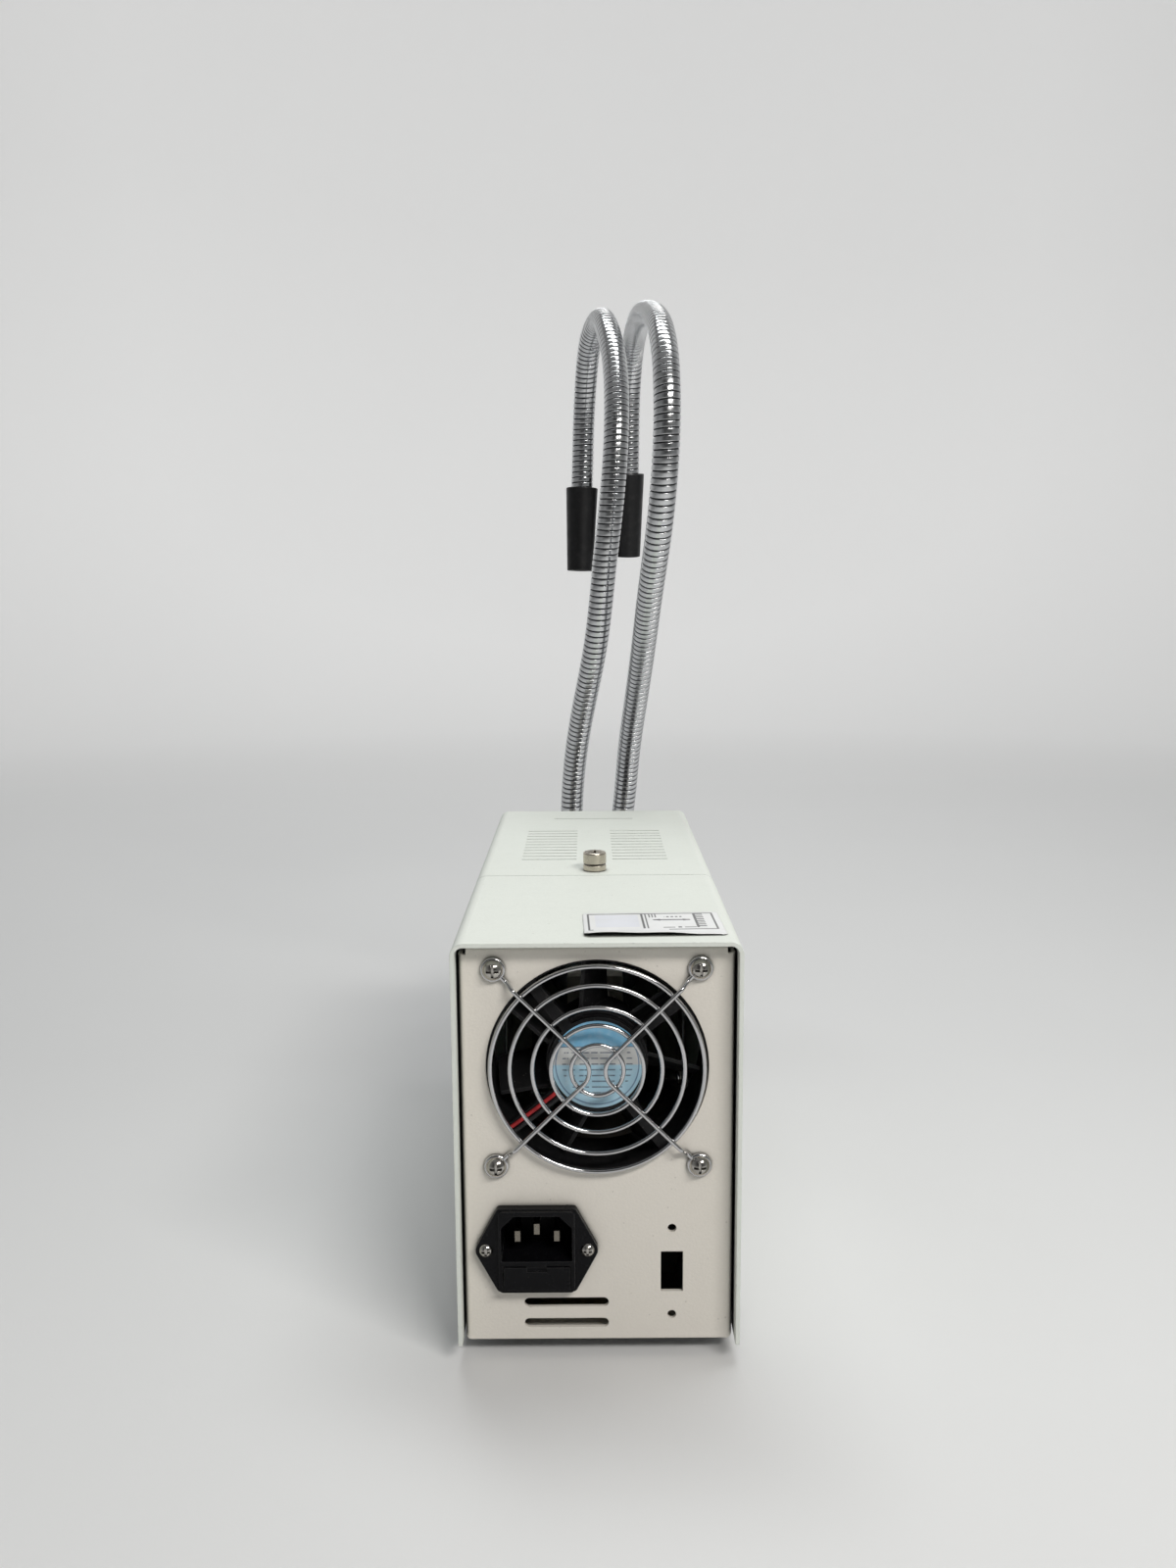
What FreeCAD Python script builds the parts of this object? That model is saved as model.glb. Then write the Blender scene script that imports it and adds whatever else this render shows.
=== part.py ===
# Fiber optic illuminator: a sheet metal lamp house with a rear fan, a mains inlet with
# a fuse drawer, a lamp cover held by one thumbscrew, and a pull-out light guide with
# two gooseneck arms. Millimetres, +Z up, X across the case, Y from the rear panel (low)
# to the front (high). While it is built, Y is zero on the outer face of the rear panel
# and Z is zero on the bench. The finished solids are then moved along Y, so that the
# origin is the middle of the whole object's footprint.
import FreeCAD
import Part

import math
import os

# Case, covers and panels
sheet = 1.5
box_width = 100.0
box_height = 148.4
foot_height = 6.0
cover_length = 261.7
rear_overhang = 6.1
front_overhang = 4.0
seam_from_rear = 103.9
seam_gap = 0.4
lamp_cover_side = 45.0
cover_bend = 4.5
panel_bend = 2.0
panel_corner = 1.6
panel_side_gap = 0.7
panel_top_gap = 1.1
panel_hem = 8.0
panel_notch_width = 2.7
panel_notch_height = 2.9
panel_return = 12.0
panel_return_inset = 3.4
skirt_lift = 1.0
pan_flange_height = 14.0
pan_flange_setback = 2.0

# Louvres, front slit and captive screw of the lamp cover
louvre_rows = 11
louvre_pitch = 6.7
louvre_width = 1.0
louvre_length = 24.3
louvre_inner_x = 8.0
louvre_first_from_seam = 32.7
slit_length = 40.8
slit_from_front = 23.6
screw_from_seam = 10.9
thumb_head_r = 4.9
thumb_head_height = 4.6
thumb_head_gap = 0.65
thumb_collar_height = 2.6
thumb_collar_edge = 0.25
thumb_shank_r = 2.0
thumb_shank_below = 9.0
thumb_slot_width = 1.0
thumb_slot_depth = 1.2
thumb_edge = 0.7
thread_clearance = 0.06

# Cross bridge below the seam
bridge_rear = 19.0
bridge_front = 17.0
bridge_flange = 12.0
bridge_nut_r = 4.0
bridge_nut_height = 4.0

# Fan in the rear panel
fan_below_top = 46.4
fan_size = 80.0
fan_depth = 25.4
fan_corner = 3.5
fan_flange = 4.2
fan_bore_r = 38.0
fan_wall = 1.9
fan_screw_pitch = 71.5
fan_hub_r = 17.2
fan_hub_recess = 1.6
fan_hub_plate = 3.0
fan_strut_width = 4.2
fan_strut_angles = (38.0, 128.0, 218.0, 308.0)
fan_tube_r = 4.6
fan_tube_depth = 16.0
fan_shaft_r = 1.5
fan_running_gap = 0.06
fan_opening_r = 38.9
fan_rotor_gap = 1.0
fan_rotor_end_gap = 1.0
fan_cup_r = 18.0
fan_cup_wall = 1.6
fan_blades = 7
fan_blade_r = 36.3
fan_blade_thick = 1.3
fan_blade_root_sweep = 30.0
fan_blade_tip_sweep = 24.0
fan_blade_chord_shares = (-1.0, -0.5, 0.0, 0.5, 1.0)
fan_blade_camber_share = 0.25
fan_coil_r = 13.5
fan_coil_length = 9.0
fan_coil_slot = 3.0
fan_coil_poles = 4
fan_label_r = 15.9
label_thick = 0.15
lead_r = 0.7
lead_pitch = 1.7
lead_stagger = 0.85
lead_bend = 2.6
lead_hub_shares = (0.76, 0.6)
lead_flange_shares = (0.86, 0.62)
lead_drop_shares = (0.72, 0.8)
lead_foot_inset = 12.0
lead_notch_shallow = 14.0
lead_notch_deep = 7.4
lead_notch_shares = (0.52, 0.8)
lead_case_gap = 2.2

# Wire guard and its screws
guard_wire_r = 0.8
guard_ring_radii = (9.1, 16.1, 22.6, 30.4, 37.2)
guard_ring_y = 2.5
guard_spoke_y = 3.6
guard_vertex_bend = 6.8
guard_step_bend = 1.6
guard_step_from_loop = 2.6
guard_step_length = 3.4
guard_loop_r = 3.6
guard_screw_r = 1.95
guard_screw_head_r = 3.65
guard_screw_head_height = 2.5
guard_screw_length = 10.0
guard_nut_r = 4.0
guard_nut_height = 3.2
screw_hole_gap = 0.25
recess_width = 0.9
recess_share = 0.6

# Mains inlet with fuse drawer
inlet_from_left = 26.7
inlet_above_pan = 35.6
inlet_screw_pitch = 36.0
inlet_ear_r = 3.6
inlet_flange = 3.0
inlet_plate_width = 27.6
inlet_plate_top = 15.6
inlet_plate_bottom = 15.6
inlet_corner = 1.5
inlet_frame_raise = 1.5
inlet_frame_inset = 0.4
inlet_body_depth = 24.0
inlet_body_inset = 0.9
socket_width = 25.1
socket_height = 17.0
socket_above_centre = 5.0
socket_depth = 17.5
socket_chamfer = 4.5
pin_width = 2.0
pin_height = 4.0
pin_spread = 7.0
pin_earth_rise = 4.0
pin_tip_recess = 6.0
pin_earth_recess = 3.5
pin_tail = 9.0
drawer_width = 23.4
drawer_height = 8.4
drawer_drop = 9.65
drawer_depth = 21.0
drawer_gap = 0.25
drawer_cap = 1.6
drawer_cap_proud = 0.6
drawer_tray_height = 6.9
drawer_notch_width = 7.0
drawer_notch_height = 1.6
fuse_r = 2.5
fuse_length = 20.0
fuse_gap = 0.1
fuse_cap_length = 5.0
fuse_glass_r = 2.2
inlet_screw_r = 1.45
inlet_screw_head_r = 2.5
inlet_screw_head_height = 1.5
inlet_screw_length = 7.5
inlet_nut_r = 3.2
inlet_nut_height = 2.4

# Vent slots and the spare cut-out in the rear panel
slot_from_left = 21.9
slot_length = 30.2
slot_height = 3.5
slot_low = 6.2
slot_pitch = 7.9
cutout_from_right = 23.8
cutout_width = 7.9
cutout_height = 15.2
cutout_above_pan = 25.7
cutout_hole_pitch = 33.0
cutout_hole_r = 1.55

# Sticker on the rear cover
sticker_width = 49.6
sticker_length = 32.0
sticker_x = 20.2
sticker_from_rear = 24.1
sticker_turn = 1.5
sticker_corner = 1.5

# Feet and sheet metal screws
foot_r_top = 7.5
foot_r_bottom = 6.2
foot_inset_x = 11.0
foot_inset_rear = 22.0
foot_inset_front = 20.0
foot_recess_r = 4.0
foot_recess = 3.2
foot_screw_r = 1.5
foot_screw_head_r = 3.0
foot_screw_head = 2.0
foot_screw_length = 7.0
cover_screw_r = 1.45
cover_screw_head_r = 2.9
cover_screw_head = 1.3
cover_screw_length = 6.5
cover_screw_rise = 8.0
cover_screw_inset = 34.0

# Light port, its lock screw and the guide ferrule
port_above_pan = 82.0
port_flange_r = 22.0
port_flange = 3.0
port_boss_r = 15.0
port_boss_length = 22.4
port_boss_edge = 1.0
port_spigot_r = 12.5
port_spigot_gap = 0.5
port_inner_length = 12.0
ferrule_r = 8.0
ferrule_gap = 0.08
port_screw_circle = 18.6
port_screw_count = 4
port_screw_first_angle = 45.0
port_screw_r = 1.45
port_screw_head_r = 2.6
port_screw_head = 1.9
port_screw_length = 7.5
lock_from_boss_end = 8.6
lock_shank_r = 2.5
lock_tip_gap = 0.3
lock_head_r = 6.0
lock_head_height = 8.0
lock_neck = 1.2
lock_knurls = 18
lock_knurl_r = 0.55
ferrule_length = 33.0
ferrule_wall = 1.3
guide_rest_gap = 0.3
guide_collar_r = 12.0
guide_collar = 4.0
guide_collar_edge = 1.0

# Junction block and the two gooseneck arms
block_half_width = 24.0
block_half_height = 13.0
block_length = 23.7
block_corner = 4.0
hose_spacing = 26.0
hose_peak_r = 6.7
hose_valley_r = 6.05
hose_bore_r = 4.5
hose_pitch = 3.2
hose_rib_shares = (0.0, 0.2, 0.74, 0.92)
hose_in_block = 12.0
hose_socket_gap = 0.06
hose_bore_step = 9.0
hose_bore_overrun = 3.0
left_arm_sway = 27.0
left_arm_depth = 80.0
right_arm_sway = 24.0
right_arm_depth = 90.0
arm_height = 340.0
arm_base_bend_at = 52.0
left_apex_share = 0.763
right_apex_share = 0.795
bend_ball_r = 6.05
bend_ball_gap = 0.35
bend_shoulder = 2.0
tip_top_r = 9.75
tip_bottom_r = 8.0
tip_length = 50.4
tip_socket_depth = 9.0
tip_lens_recess = 1.2
tip_edge = 0.5
fibre_r = 3.6
fibre_trunk_r = 5.4
fibre_trunk_half = 1.0
fibre_clear = 0.6
fibre_split_length = 8.5
fibre_split_back = 12.5
fibre_front_inset = 2.0

# Lamp, its socket, the bracket and the heat filter
lamp_rim_r = 25.4
lamp_rim_thick = 3.0
lamp_focus = 33.0
lamp_reflector_depth = 30.0
lamp_reflector_r = 24.2
lamp_neck_r = 9.5
lamp_neck_length = 12.0
lamp_wall = 1.6
lamp_capsule_r = 4.8
lamp_capsule_length = 24.0
lamp_pin_r = 0.6
lamp_pin_length = 8.0
lamp_pin_spread = 2.65
lamp_pin_gap = 0.2
lamp_socket_width = 26.0
lamp_socket_height = 15.0
lamp_socket_length = 13.0
lamp_socket_corner = 1.6
lamp_lead_r = 1.0
lamp_lead_spread = 5.3
lamp_lead_reach = 13.0
lamp_lead_drop = 32.0
lamp_lead_rise = 14.0
lamp_lead_bend = 5.2
bracket_width = 64.0
bracket_top = 30.0
bracket_hole_gap = 0.4
bracket_foot = 22.0
bracket_shelf = 16.0
bracket_corner = 4.5
filter_size = 46.0
filter_thick = 2.5
filter_from_rim = 6.0
filter_lug = 4.0
filter_corner = 4.5

# Potentiometer, knob and power switch on the front panel
knob_x = 25.0
controls_above_pan = 27.0
knob_r = 12.0
knob_length = 15.0
knob_gap = 1.4
knob_skirt_r = 13.5
knob_skirt = 2.0
knob_flutes = 24
knob_flute_r = 0.9
knob_pointer = 0.6
knob_pointer_length = 7.8
knob_edge = 1.2
knob_rest_turn = 135.0
pot_body_r = 8.4
pot_body_length = 10.5
pot_bush_r = 3.6
pot_bush_length = 7.0
pot_shaft_r = 3.0
pot_shaft_in_knob = 10.0
pot_nut_r = 5.4
pot_nut = 2.0
pot_hole_gap = 0.2
switch_width = 19.0
switch_height = 25.0
switch_bezel = 2.0
switch_corner = 1.5
switch_body_width = 15.4
switch_body_height = 21.4
switch_body_depth = 18.0
switch_body_gap = 0.2
rocker_width = 12.4
rocker_height = 18.0
rocker_depth = 7.0
rocker_dish = 2.2
rocker_back_share = 0.6
rocker_gap = 0.4
rocker_tilt = 8.0
rocker_pin_r = 1.2
rocker_pin_gap = 0.06
rocker_pin_depth = 1.5
rocker_pivot_inset = 1.0

# Transformer and control board
core_width = 66.0
core_length = 38.0
core_height = 54.0
core_window = 11.0
core_x = -2.0
core_from_fan = 15.0
coil_bulge = 7.0
core_foot = 2.0
core_foot_reach = 9.0
core_foot_length = 19.0
coil_corner = 3.5
board_width = 76.0
board_length = 64.0
board_thick = 1.6
board_from_core = 24.0
standoff_r = 3.0
standoff_height = 10.0
standoff_inset = 4.0
capacitor_r = 8.0
capacitor_height = 26.0
capacitor_gap = 2.0
capacitor_inset = 21.3
capacitor_from_middle = 19.0
capacitor_edge = 0.75
sink_width = 30.0
sink_height = 24.0
sink_fin = 1.6
sink_fins = 6
sink_depth = 12.0
sink_inset = 8.0
terminal_width = 20.0
terminal_depth = 9.0
terminal_height = 10.0

# One overrun serves every cut
over = 1.0

# Places worked out from the sizes above
half_box = box_width / 2
pan_bottom = foot_height
pan_top = pan_bottom + sheet
case_top = foot_height + box_height
lid_under = case_top - sheet
inner_half = half_box - sheet
panel_half = inner_half - panel_side_gap
cover_rear = -rear_overhang
cover_front = cover_rear + cover_length
seam_y = cover_rear + seam_from_rear
lid_rear = seam_y + seam_gap
front_y = cover_front - front_overhang
front_back = front_y - sheet
skirt_z = pan_bottom + skirt_lift
lid_skirt_z = case_top - lamp_cover_side
thumb_y = seam_y + screw_from_seam
fan_z = case_top - fan_below_top
fan_rear = sheet
fan_front = fan_rear + fan_depth
fan_pitch_half = fan_screw_pitch / 2
hub_rear = fan_rear + fan_hub_recess
hub_front = hub_rear + fan_hub_plate
rotor_rear = hub_front + fan_rotor_gap
rotor_front = fan_front - fan_rotor_end_gap
inlet_x = -half_box + inlet_from_left + sheet
inlet_z = pan_bottom + inlet_above_pan
inlet_face = -(inlet_flange + inlet_frame_raise)
socket_z = inlet_z + socket_above_centre
drawer_z = inlet_z - drawer_drop
core_rear = fan_front + core_from_fan
board_rear = core_rear + core_length + board_from_core
board_under = pan_top + standoff_height
board_top = board_under + board_thick
port_z = pan_bottom + port_above_pan
boss_end = front_y + port_boss_length
port_inner = front_back - port_inner_length
lamp_rim_y = port_inner - lamp_focus
lamp_back = lamp_rim_y - lamp_rim_thick - lamp_reflector_depth
lamp_neck_back = lamp_back - lamp_neck_length
bracket_front = lamp_rim_y - lamp_rim_thick
shelf_z = port_z - filter_size / 2
filter_y = lamp_rim_y + filter_from_rim
collar_y = boss_end + guide_rest_gap
block_rear = collar_y + guide_collar
block_front = block_rear + block_length
hose_x = hose_spacing / 2
controls_z = pan_bottom + controls_above_pan
cutout_x = half_box - cutout_from_right
cutout_z = pan_bottom + cutout_above_pan
bridge_back_y = seam_y - bridge_rear
bridge_front_y = seam_y + bridge_front

# Arm routes from the block's front face: shares of the arm's sway, depth and height
LEFT_ROUTE_SHARES = (
    (0.0, 0.0, 0.0),
    (0.0, 0.32, 0.031),
    (0.0, 0.45, 0.1),
    (0.015, 0.452, 0.159),
    (0.126, 0.3, 0.263),
    (0.341, 0.05, 0.364),
    (0.563, -0.17, 0.458),
    (0.752, -0.33, 0.589),
    (0.926, -0.38, 0.716),
    (0.996, -0.27, 0.845),
    (0.952, -0.08, 0.914),
    (0.844, 0.13, 0.963),
    (0.704, 0.4, 0.99),
    (0.511, 0.68, 0.972),
    (0.411, 0.87, 0.925),
    (0.348, 0.965, 0.858),
    (0.307, 0.99, 0.768),
    (0.289, 0.988, 0.726),
)
LEFT_TIP_LEAN_SHARES = (0.0, -0.03, -1.0)
RIGHT_ROUTE_SHARES = (
    (0.0, 0.0, 0.0),
    (0.021, 0.283, 0.031),
    (0.125, 0.4, 0.1),
    (0.233, 0.4, 0.159),
    (0.354, 0.24, 0.264),
    (0.5, -0.04, 0.365),
    (0.629, -0.35, 0.459),
    (0.733, -0.64, 0.545),
    (0.854, -0.86, 0.625),
    (0.954, -0.98, 0.712),
    (0.992, -1.0, 0.791),
    (0.979, -0.93, 0.862),
    (0.925, -0.73, 0.918),
    (0.825, -0.44, 0.954),
    (0.692, -0.13, 0.974),
    (0.608, 0.24, 0.981),
    (0.533, 0.56, 0.965),
    (0.483, 0.76, 0.925),
    (0.454, 0.82, 0.877),
    (0.438, 0.848, 0.806),
    (0.429, 0.872, 0.751),
)
RIGHT_TIP_LEAN_SHARES = (0.0, 0.15, -1.0)

V = FreeCAD.Vector
AXIS_X = V(1, 0, 0)
AXIS_Y = V(0, 1, 0)
AXIS_Z = V(0, 0, 1)
DIAGONAL_SHARE = math.sqrt(0.5)
PARALLEL_SHARE = 0.999
NUT_SIDES = 6


def block(x0, x1, y0, y1, z0, z1):
    """Box between two corners."""
    return Part.makeBox(x1 - x0, y1 - y0, z1 - z0, V(x0, y0, z0))


def rod_y(x, z, radius, y0, y1):
    """Cylinder along Y."""
    return Part.makeCylinder(radius, y1 - y0, V(x, y0, z), AXIS_Y)


def rod_z(x, y, radius, z0, z1):
    """Cylinder along Z."""
    return Part.makeCylinder(radius, z1 - z0, V(x, y, z0), AXIS_Z)


def rod_x(y, z, radius, x0, x1):
    """Cylinder along X."""
    return Part.makeCylinder(radius, x1 - x0, V(x0, y, z), AXIS_X)


def join(shapes):
    """All the shapes fused into one clean solid."""
    first = shapes[0]
    if len(shapes) > 1:
        first = first.fuse(shapes[1:])
    return first.removeSplitter()


def group(shapes):
    """Separate solids kept side by side in one piece."""
    return Part.makeCompound(shapes)


def bar_y(x, z, half_w, half_h, y0, y1):
    """Box along Y, centred on x and z."""
    return block(x - half_w, x + half_w, y0, y1, z - half_h, z + half_h)


def rims(shape, keep=None):
    """Circular edges of a shape, those that keep() accepts."""
    circles = [edge for edge in shape.Edges if edge.Curve.TypeId == "Part::GeomCircle"]
    return [edge for edge in circles if keep is None or keep(edge)]


def round_edges(shape, radius, axis, keep=None):
    """Rounds the straight edges along an axis, those that keep() accepts."""
    edges = []
    for edge in shape.Edges:
        if edge.Curve.TypeId != "Part::GeomLine":
            continue
        along = abs(edge.tangentAt(edge.FirstParameter).dot(axis))
        if along > PARALLEL_SHARE and (keep is None or keep(edge.CenterOfMass)):
            edges.append(edge)
    return shape.makeFillet(radius, edges)


def channel(half, web, lips, radius, start, end, axis):
    """U-shaped sheet with outer bends: web at one level, both legs running to lips.

    The section lies across the given axis, from start to end along it.
    """
    way = math.copysign(1, lips - web)

    def spot(u, v):
        return V(u, start, v) if axis == AXIS_Y else V(u, v, start)

    def outline(reach, level, bend):
        turn = bend * DIAGONAL_SHARE
        inner = level + way * bend
        middle = inner - way * turn
        flat = reach - bend
        left = Part.Arc(spot(-reach, inner), spot(-flat - turn, middle), spot(-flat, level))
        right = Part.Arc(spot(flat, level), spot(flat + turn, middle), spot(reach, inner))
        return [
            Part.LineSegment(spot(-reach, lips), spot(-reach, inner)).toShape(),
            left.toShape(),
            Part.LineSegment(spot(-flat, level), spot(flat, level)).toShape(),
            right.toShape(),
            Part.LineSegment(spot(reach, inner), spot(reach, lips)).toShape(),
        ]

    outer = outline(half, web, radius)
    inner = outline(half - sheet, web + way * sheet, radius - sheet)
    ends = [
        Part.LineSegment(spot(-half, lips), spot(-half + sheet, lips)).toShape(),
        Part.LineSegment(spot(half, lips), spot(half - sheet, lips)).toShape(),
    ]
    wire = Part.Wire(Part.__sortEdges__(outer + inner + ends))
    return Part.Face(wire).extrude(axis * (end - start))


def slot_y(x0, x1, z, height, y0, y1):
    """Round-ended slot cutter through a panel."""
    radius = height / 2
    bar = block(x0 + radius, x1 - radius, y0, y1, z - radius, z + radius)
    return join([bar, rod_y(x0 + radius, z, radius, y0, y1), rod_y(x1 - radius, z, radius, y0, y1)])


def bent_rod(points, radius, bend):
    """Round rod along straight runs joined by tangent arcs."""
    edges = []
    last = points[0]
    for before, corner, after in zip(points, points[1:], points[2:]):
        into = (corner - before).normalize()
        away = (after - corner).normalize()
        turn = into.getAngle(away)
        setback = bend * math.tan(turn / 2)
        first = corner - into * setback
        second = corner + away * setback
        toward = (away - into).normalize()
        middle = corner + toward * (bend / math.cos(turn / 2) - bend)
        edges.append(Part.LineSegment(last, first).toShape())
        edges.append(Part.Arc(first, middle, second).toShape())
        last = second
    edges.append(Part.LineSegment(last, points[-1]).toShape())
    path = Part.Wire(edges)
    start = (points[1] - points[0]).normalize()
    section = Part.Wire(Part.Circle(points[0], start, radius).toShape())
    return path.makePipeShell([section], True, False)


def hexagon_y(x, z, across, y0, y1):
    """Hexagonal nut blank along Y, given its corner radius."""
    corners = []
    for index in range(NUT_SIDES + 1):
        angle = math.radians(360 * index / NUT_SIDES)
        corners.append(V(x + across * math.cos(angle), y0, z + across * math.sin(angle)))
    return Part.Face(Part.makePolygon(corners)).extrude(AXIS_Y * (y1 - y0))


def cross_recess(x, y, z, size, depth, way):
    """Cross-head cutter that enters a screw head from y along +Y or, with way -1, along -Y."""
    arm = recess_width / 2
    low, high = sorted((y - way * over, y + way * depth))
    flat = bar_y(x, z, size, arm, low, high)
    return flat.fuse(bar_y(x, z, arm, size, low, high))


def pan_screw(x, z, seat, way, radius, head_r, head, length):
    """Pan-head screw along Y, its head's flat side at seat; way is -1 for a head behind it."""
    top = seat + way * head
    dome_r = (head_r ** 2 + head ** 2) / (2 * head)
    ball = Part.makeSphere(dome_r, V(x, top - way * dome_r, z))
    low, high = sorted((seat, top))
    dome = rod_y(x, z, head_r, low, high).common(ball)
    low, high = sorted((seat, seat - way * length))
    shank = rod_y(x, z, radius, low, high)
    recess = cross_recess(x, top, z, head_r * recess_share, head * recess_share, -way)
    return join([dome, shank]).cut(recess)


def fan_corners():
    """Centres of the four fan screws, as x and z."""
    spots = []
    for side in (-1, 1):
        for level in (-1, 1):
            spots.append((side * fan_pitch_half, fan_z + level * fan_pitch_half))
    return spots


def feet_places():
    """Centres of the four feet, as x and y."""
    spots = []
    for side in (-1, 1):
        for y in (foot_inset_rear, front_y - foot_inset_front):
            spots.append((side * (half_box - foot_inset_x), y))
    return spots


def cover_screw_places():
    """Side and y of the four countersunk cover screws."""
    spots = []
    for side in (-1, 1):
        for y in (cover_screw_inset, front_y - cover_screw_inset):
            spots.append((side, y))
    return spots


def countersunk(side, y, grow):
    """Countersunk screw or, with grow above zero, the hole that takes it."""
    z = pan_top + cover_screw_rise
    start = V(side * half_box, y, z)
    inward = AXIS_X * -side
    radius = cover_screw_r + grow
    head = Part.makeCone(cover_screw_head_r + grow, radius, cover_screw_head, start, inward)
    shank = Part.makeCylinder(radius, cover_screw_length + grow, start, inward)
    return head.fuse(shank).removeSplitter()


def make_chassis_pan():
    """Floor with a low upright flange on each side."""
    rear = panel_return + pan_flange_setback
    front = front_back - panel_return - pan_flange_setback
    pan = channel(inner_half, pan_bottom, pan_bottom + pan_flange_height, panel_bend, rear, front, AXIS_Y)
    floor_half = panel_half - panel_bend
    floor = block(-floor_half, floor_half, sheet, front_back, pan_bottom, pan_top)
    pan = join([pan, floor])
    for x, y in feet_places():
        pan = pan.cut(rod_z(x, y, foot_screw_r + screw_hole_gap, pan_bottom - over, pan_top + over))
    for side, y in cover_screw_places():
        pan = pan.cut(countersunk(side, y, screw_hole_gap))
    return pan


def panel_blank(outer, way, top):
    """Upright panel folded inwards at its sides and its top, with a foot return on the floor.

    A square notch at each upper corner parts the top fold from the side folds.
    """
    inner = outer + way * panel_return
    panel = channel(panel_half, outer, inner, panel_bend, pan_bottom, top, AXIS_Z)
    fold_half = panel_half - panel_notch_width
    low, high = sorted((outer, outer + way * panel_hem))
    fold = block(-fold_half, fold_half, low, high, top - sheet, top)
    return_half = panel_half - panel_return_inset
    low, high = sorted((outer, inner))
    foot = block(-return_half, return_half, low, high, pan_top, pan_top + sheet)
    room = block(-panel_half, panel_half, low - over, high + over, pan_bottom, top)
    room = round_edges(room, panel_corner, AXIS_Y, lambda c: c.z < fan_z)
    panel = join([panel, fold, foot]).common(room)
    for side in (-1, 1):
        near, far = sorted((side * fold_half, side * inner_half))
        panel = panel.cut(block(near, far, low - over, high + over, top - panel_notch_height, top + over))
    for depth, radius in ((0, panel_bend), (sheet, panel_bend - sheet)):
        corner = V(0, outer + way * depth, top - depth)
        panel = round_edges(panel, radius, AXIS_X, lambda c: (c - corner).Length < sheet / 2)
    return panel


def make_rear_panel():
    """Rear panel with the fan opening, the inlet opening, vent slots and spare cut-out."""
    panel = panel_blank(0, 1, lid_under - panel_top_gap)
    cutters = [rod_y(0, fan_z, fan_opening_r, -over, sheet + over)]
    for x, z in fan_corners():
        cutters.append(rod_y(x, z, guard_screw_r + screw_hole_gap, -over, sheet + over))
    cutters.append(inlet_block(inlet_body_inset - screw_hole_gap, -over, sheet + over))
    for x in inlet_screw_places():
        cutters.append(rod_y(x, inlet_z, inlet_screw_r + screw_hole_gap, -over, sheet + over))
    for row in range(2):
        z = pan_bottom + slot_low + row * slot_pitch
        left = -half_box + slot_from_left + sheet
        cutters.append(slot_y(left, left + slot_length, z, slot_height, -over, sheet + over))
    half_w = cutout_width / 2
    cutters.append(bar_y(cutout_x, cutout_z, half_w, cutout_height / 2, -over, sheet + over))
    for level in (-1, 1):
        z = cutout_z + level * cutout_hole_pitch / 2
        cutters.append(rod_y(cutout_x, z, cutout_hole_r, -over, sheet + over))
    return panel.cut(cutters).removeSplitter()


def port_screw_places():
    """Centres of the port flange screws, as x and z."""
    spots = []
    for index in range(port_screw_count):
        angle = math.radians(port_screw_first_angle + 360 * index / port_screw_count)
        x = port_screw_circle * math.cos(angle)
        spots.append((x, port_z + port_screw_circle * math.sin(angle)))
    return spots


def make_front_panel():
    """Front panel with openings for the light port, the knob's bush and the switch."""
    panel = panel_blank(front_y, -1, lid_under)
    low = front_back - over
    high = front_y + over
    cutters = [
        rod_y(0, port_z, port_spigot_r + port_spigot_gap, low, high),
        rod_y(-knob_x, controls_z, pot_bush_r + pot_hole_gap, low, high),
    ]
    for x, z in port_screw_places():
        cutters.append(rod_y(x, z, port_screw_r + screw_hole_gap, low, high))
    half_w = switch_body_width / 2 + switch_body_gap
    half_h = switch_body_height / 2 + switch_body_gap
    cutters.append(bar_y(knob_x, controls_z, half_w, half_h, low, high))
    return panel.cut(cutters).removeSplitter()


def make_outer_cover():
    """Main cover: full channel behind the seam, plain side walls in front of it."""
    shell = channel(half_box, case_top, skirt_z, cover_bend, cover_rear, seam_y, AXIS_Y)
    pieces = [shell]
    wall_top = lid_skirt_z - seam_gap
    for side in (-1, 1):
        low, high = sorted((side * inner_half, side * half_box))
        pieces.append(block(low, high, seam_y, cover_front, skirt_z, wall_top))
    cover = join(pieces)
    for side, y in cover_screw_places():
        cover = cover.cut(countersunk(side, y, thread_clearance))
    return cover.removeSplitter()


def make_lamp_cover():
    """Lamp cover: short channel with two blocks of louvre slits and a front slit."""
    cover = channel(half_box, case_top, lid_skirt_z, cover_bend, lid_rear, cover_front, AXIS_Y)
    cutters = [rod_z(0, thumb_y, thumb_shank_r + screw_hole_gap, lid_under - over, case_top + over)]
    for row in range(louvre_rows):
        y = seam_y + louvre_first_from_seam + row * louvre_pitch
        for side in (-1, 1):
            x0, x1 = sorted((side * louvre_inner_x, side * (louvre_inner_x + louvre_length)))
            near = y - louvre_width / 2
            cutters.append(block(x0, x1, near, near + louvre_width, lid_under - over, case_top + over))
    y = cover_front - slit_from_front - louvre_width / 2
    half = slit_length / 2
    cutters.append(block(-half, half, y, y + louvre_width, lid_under - over, case_top + over))
    return cover.cut(cutters)


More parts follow.
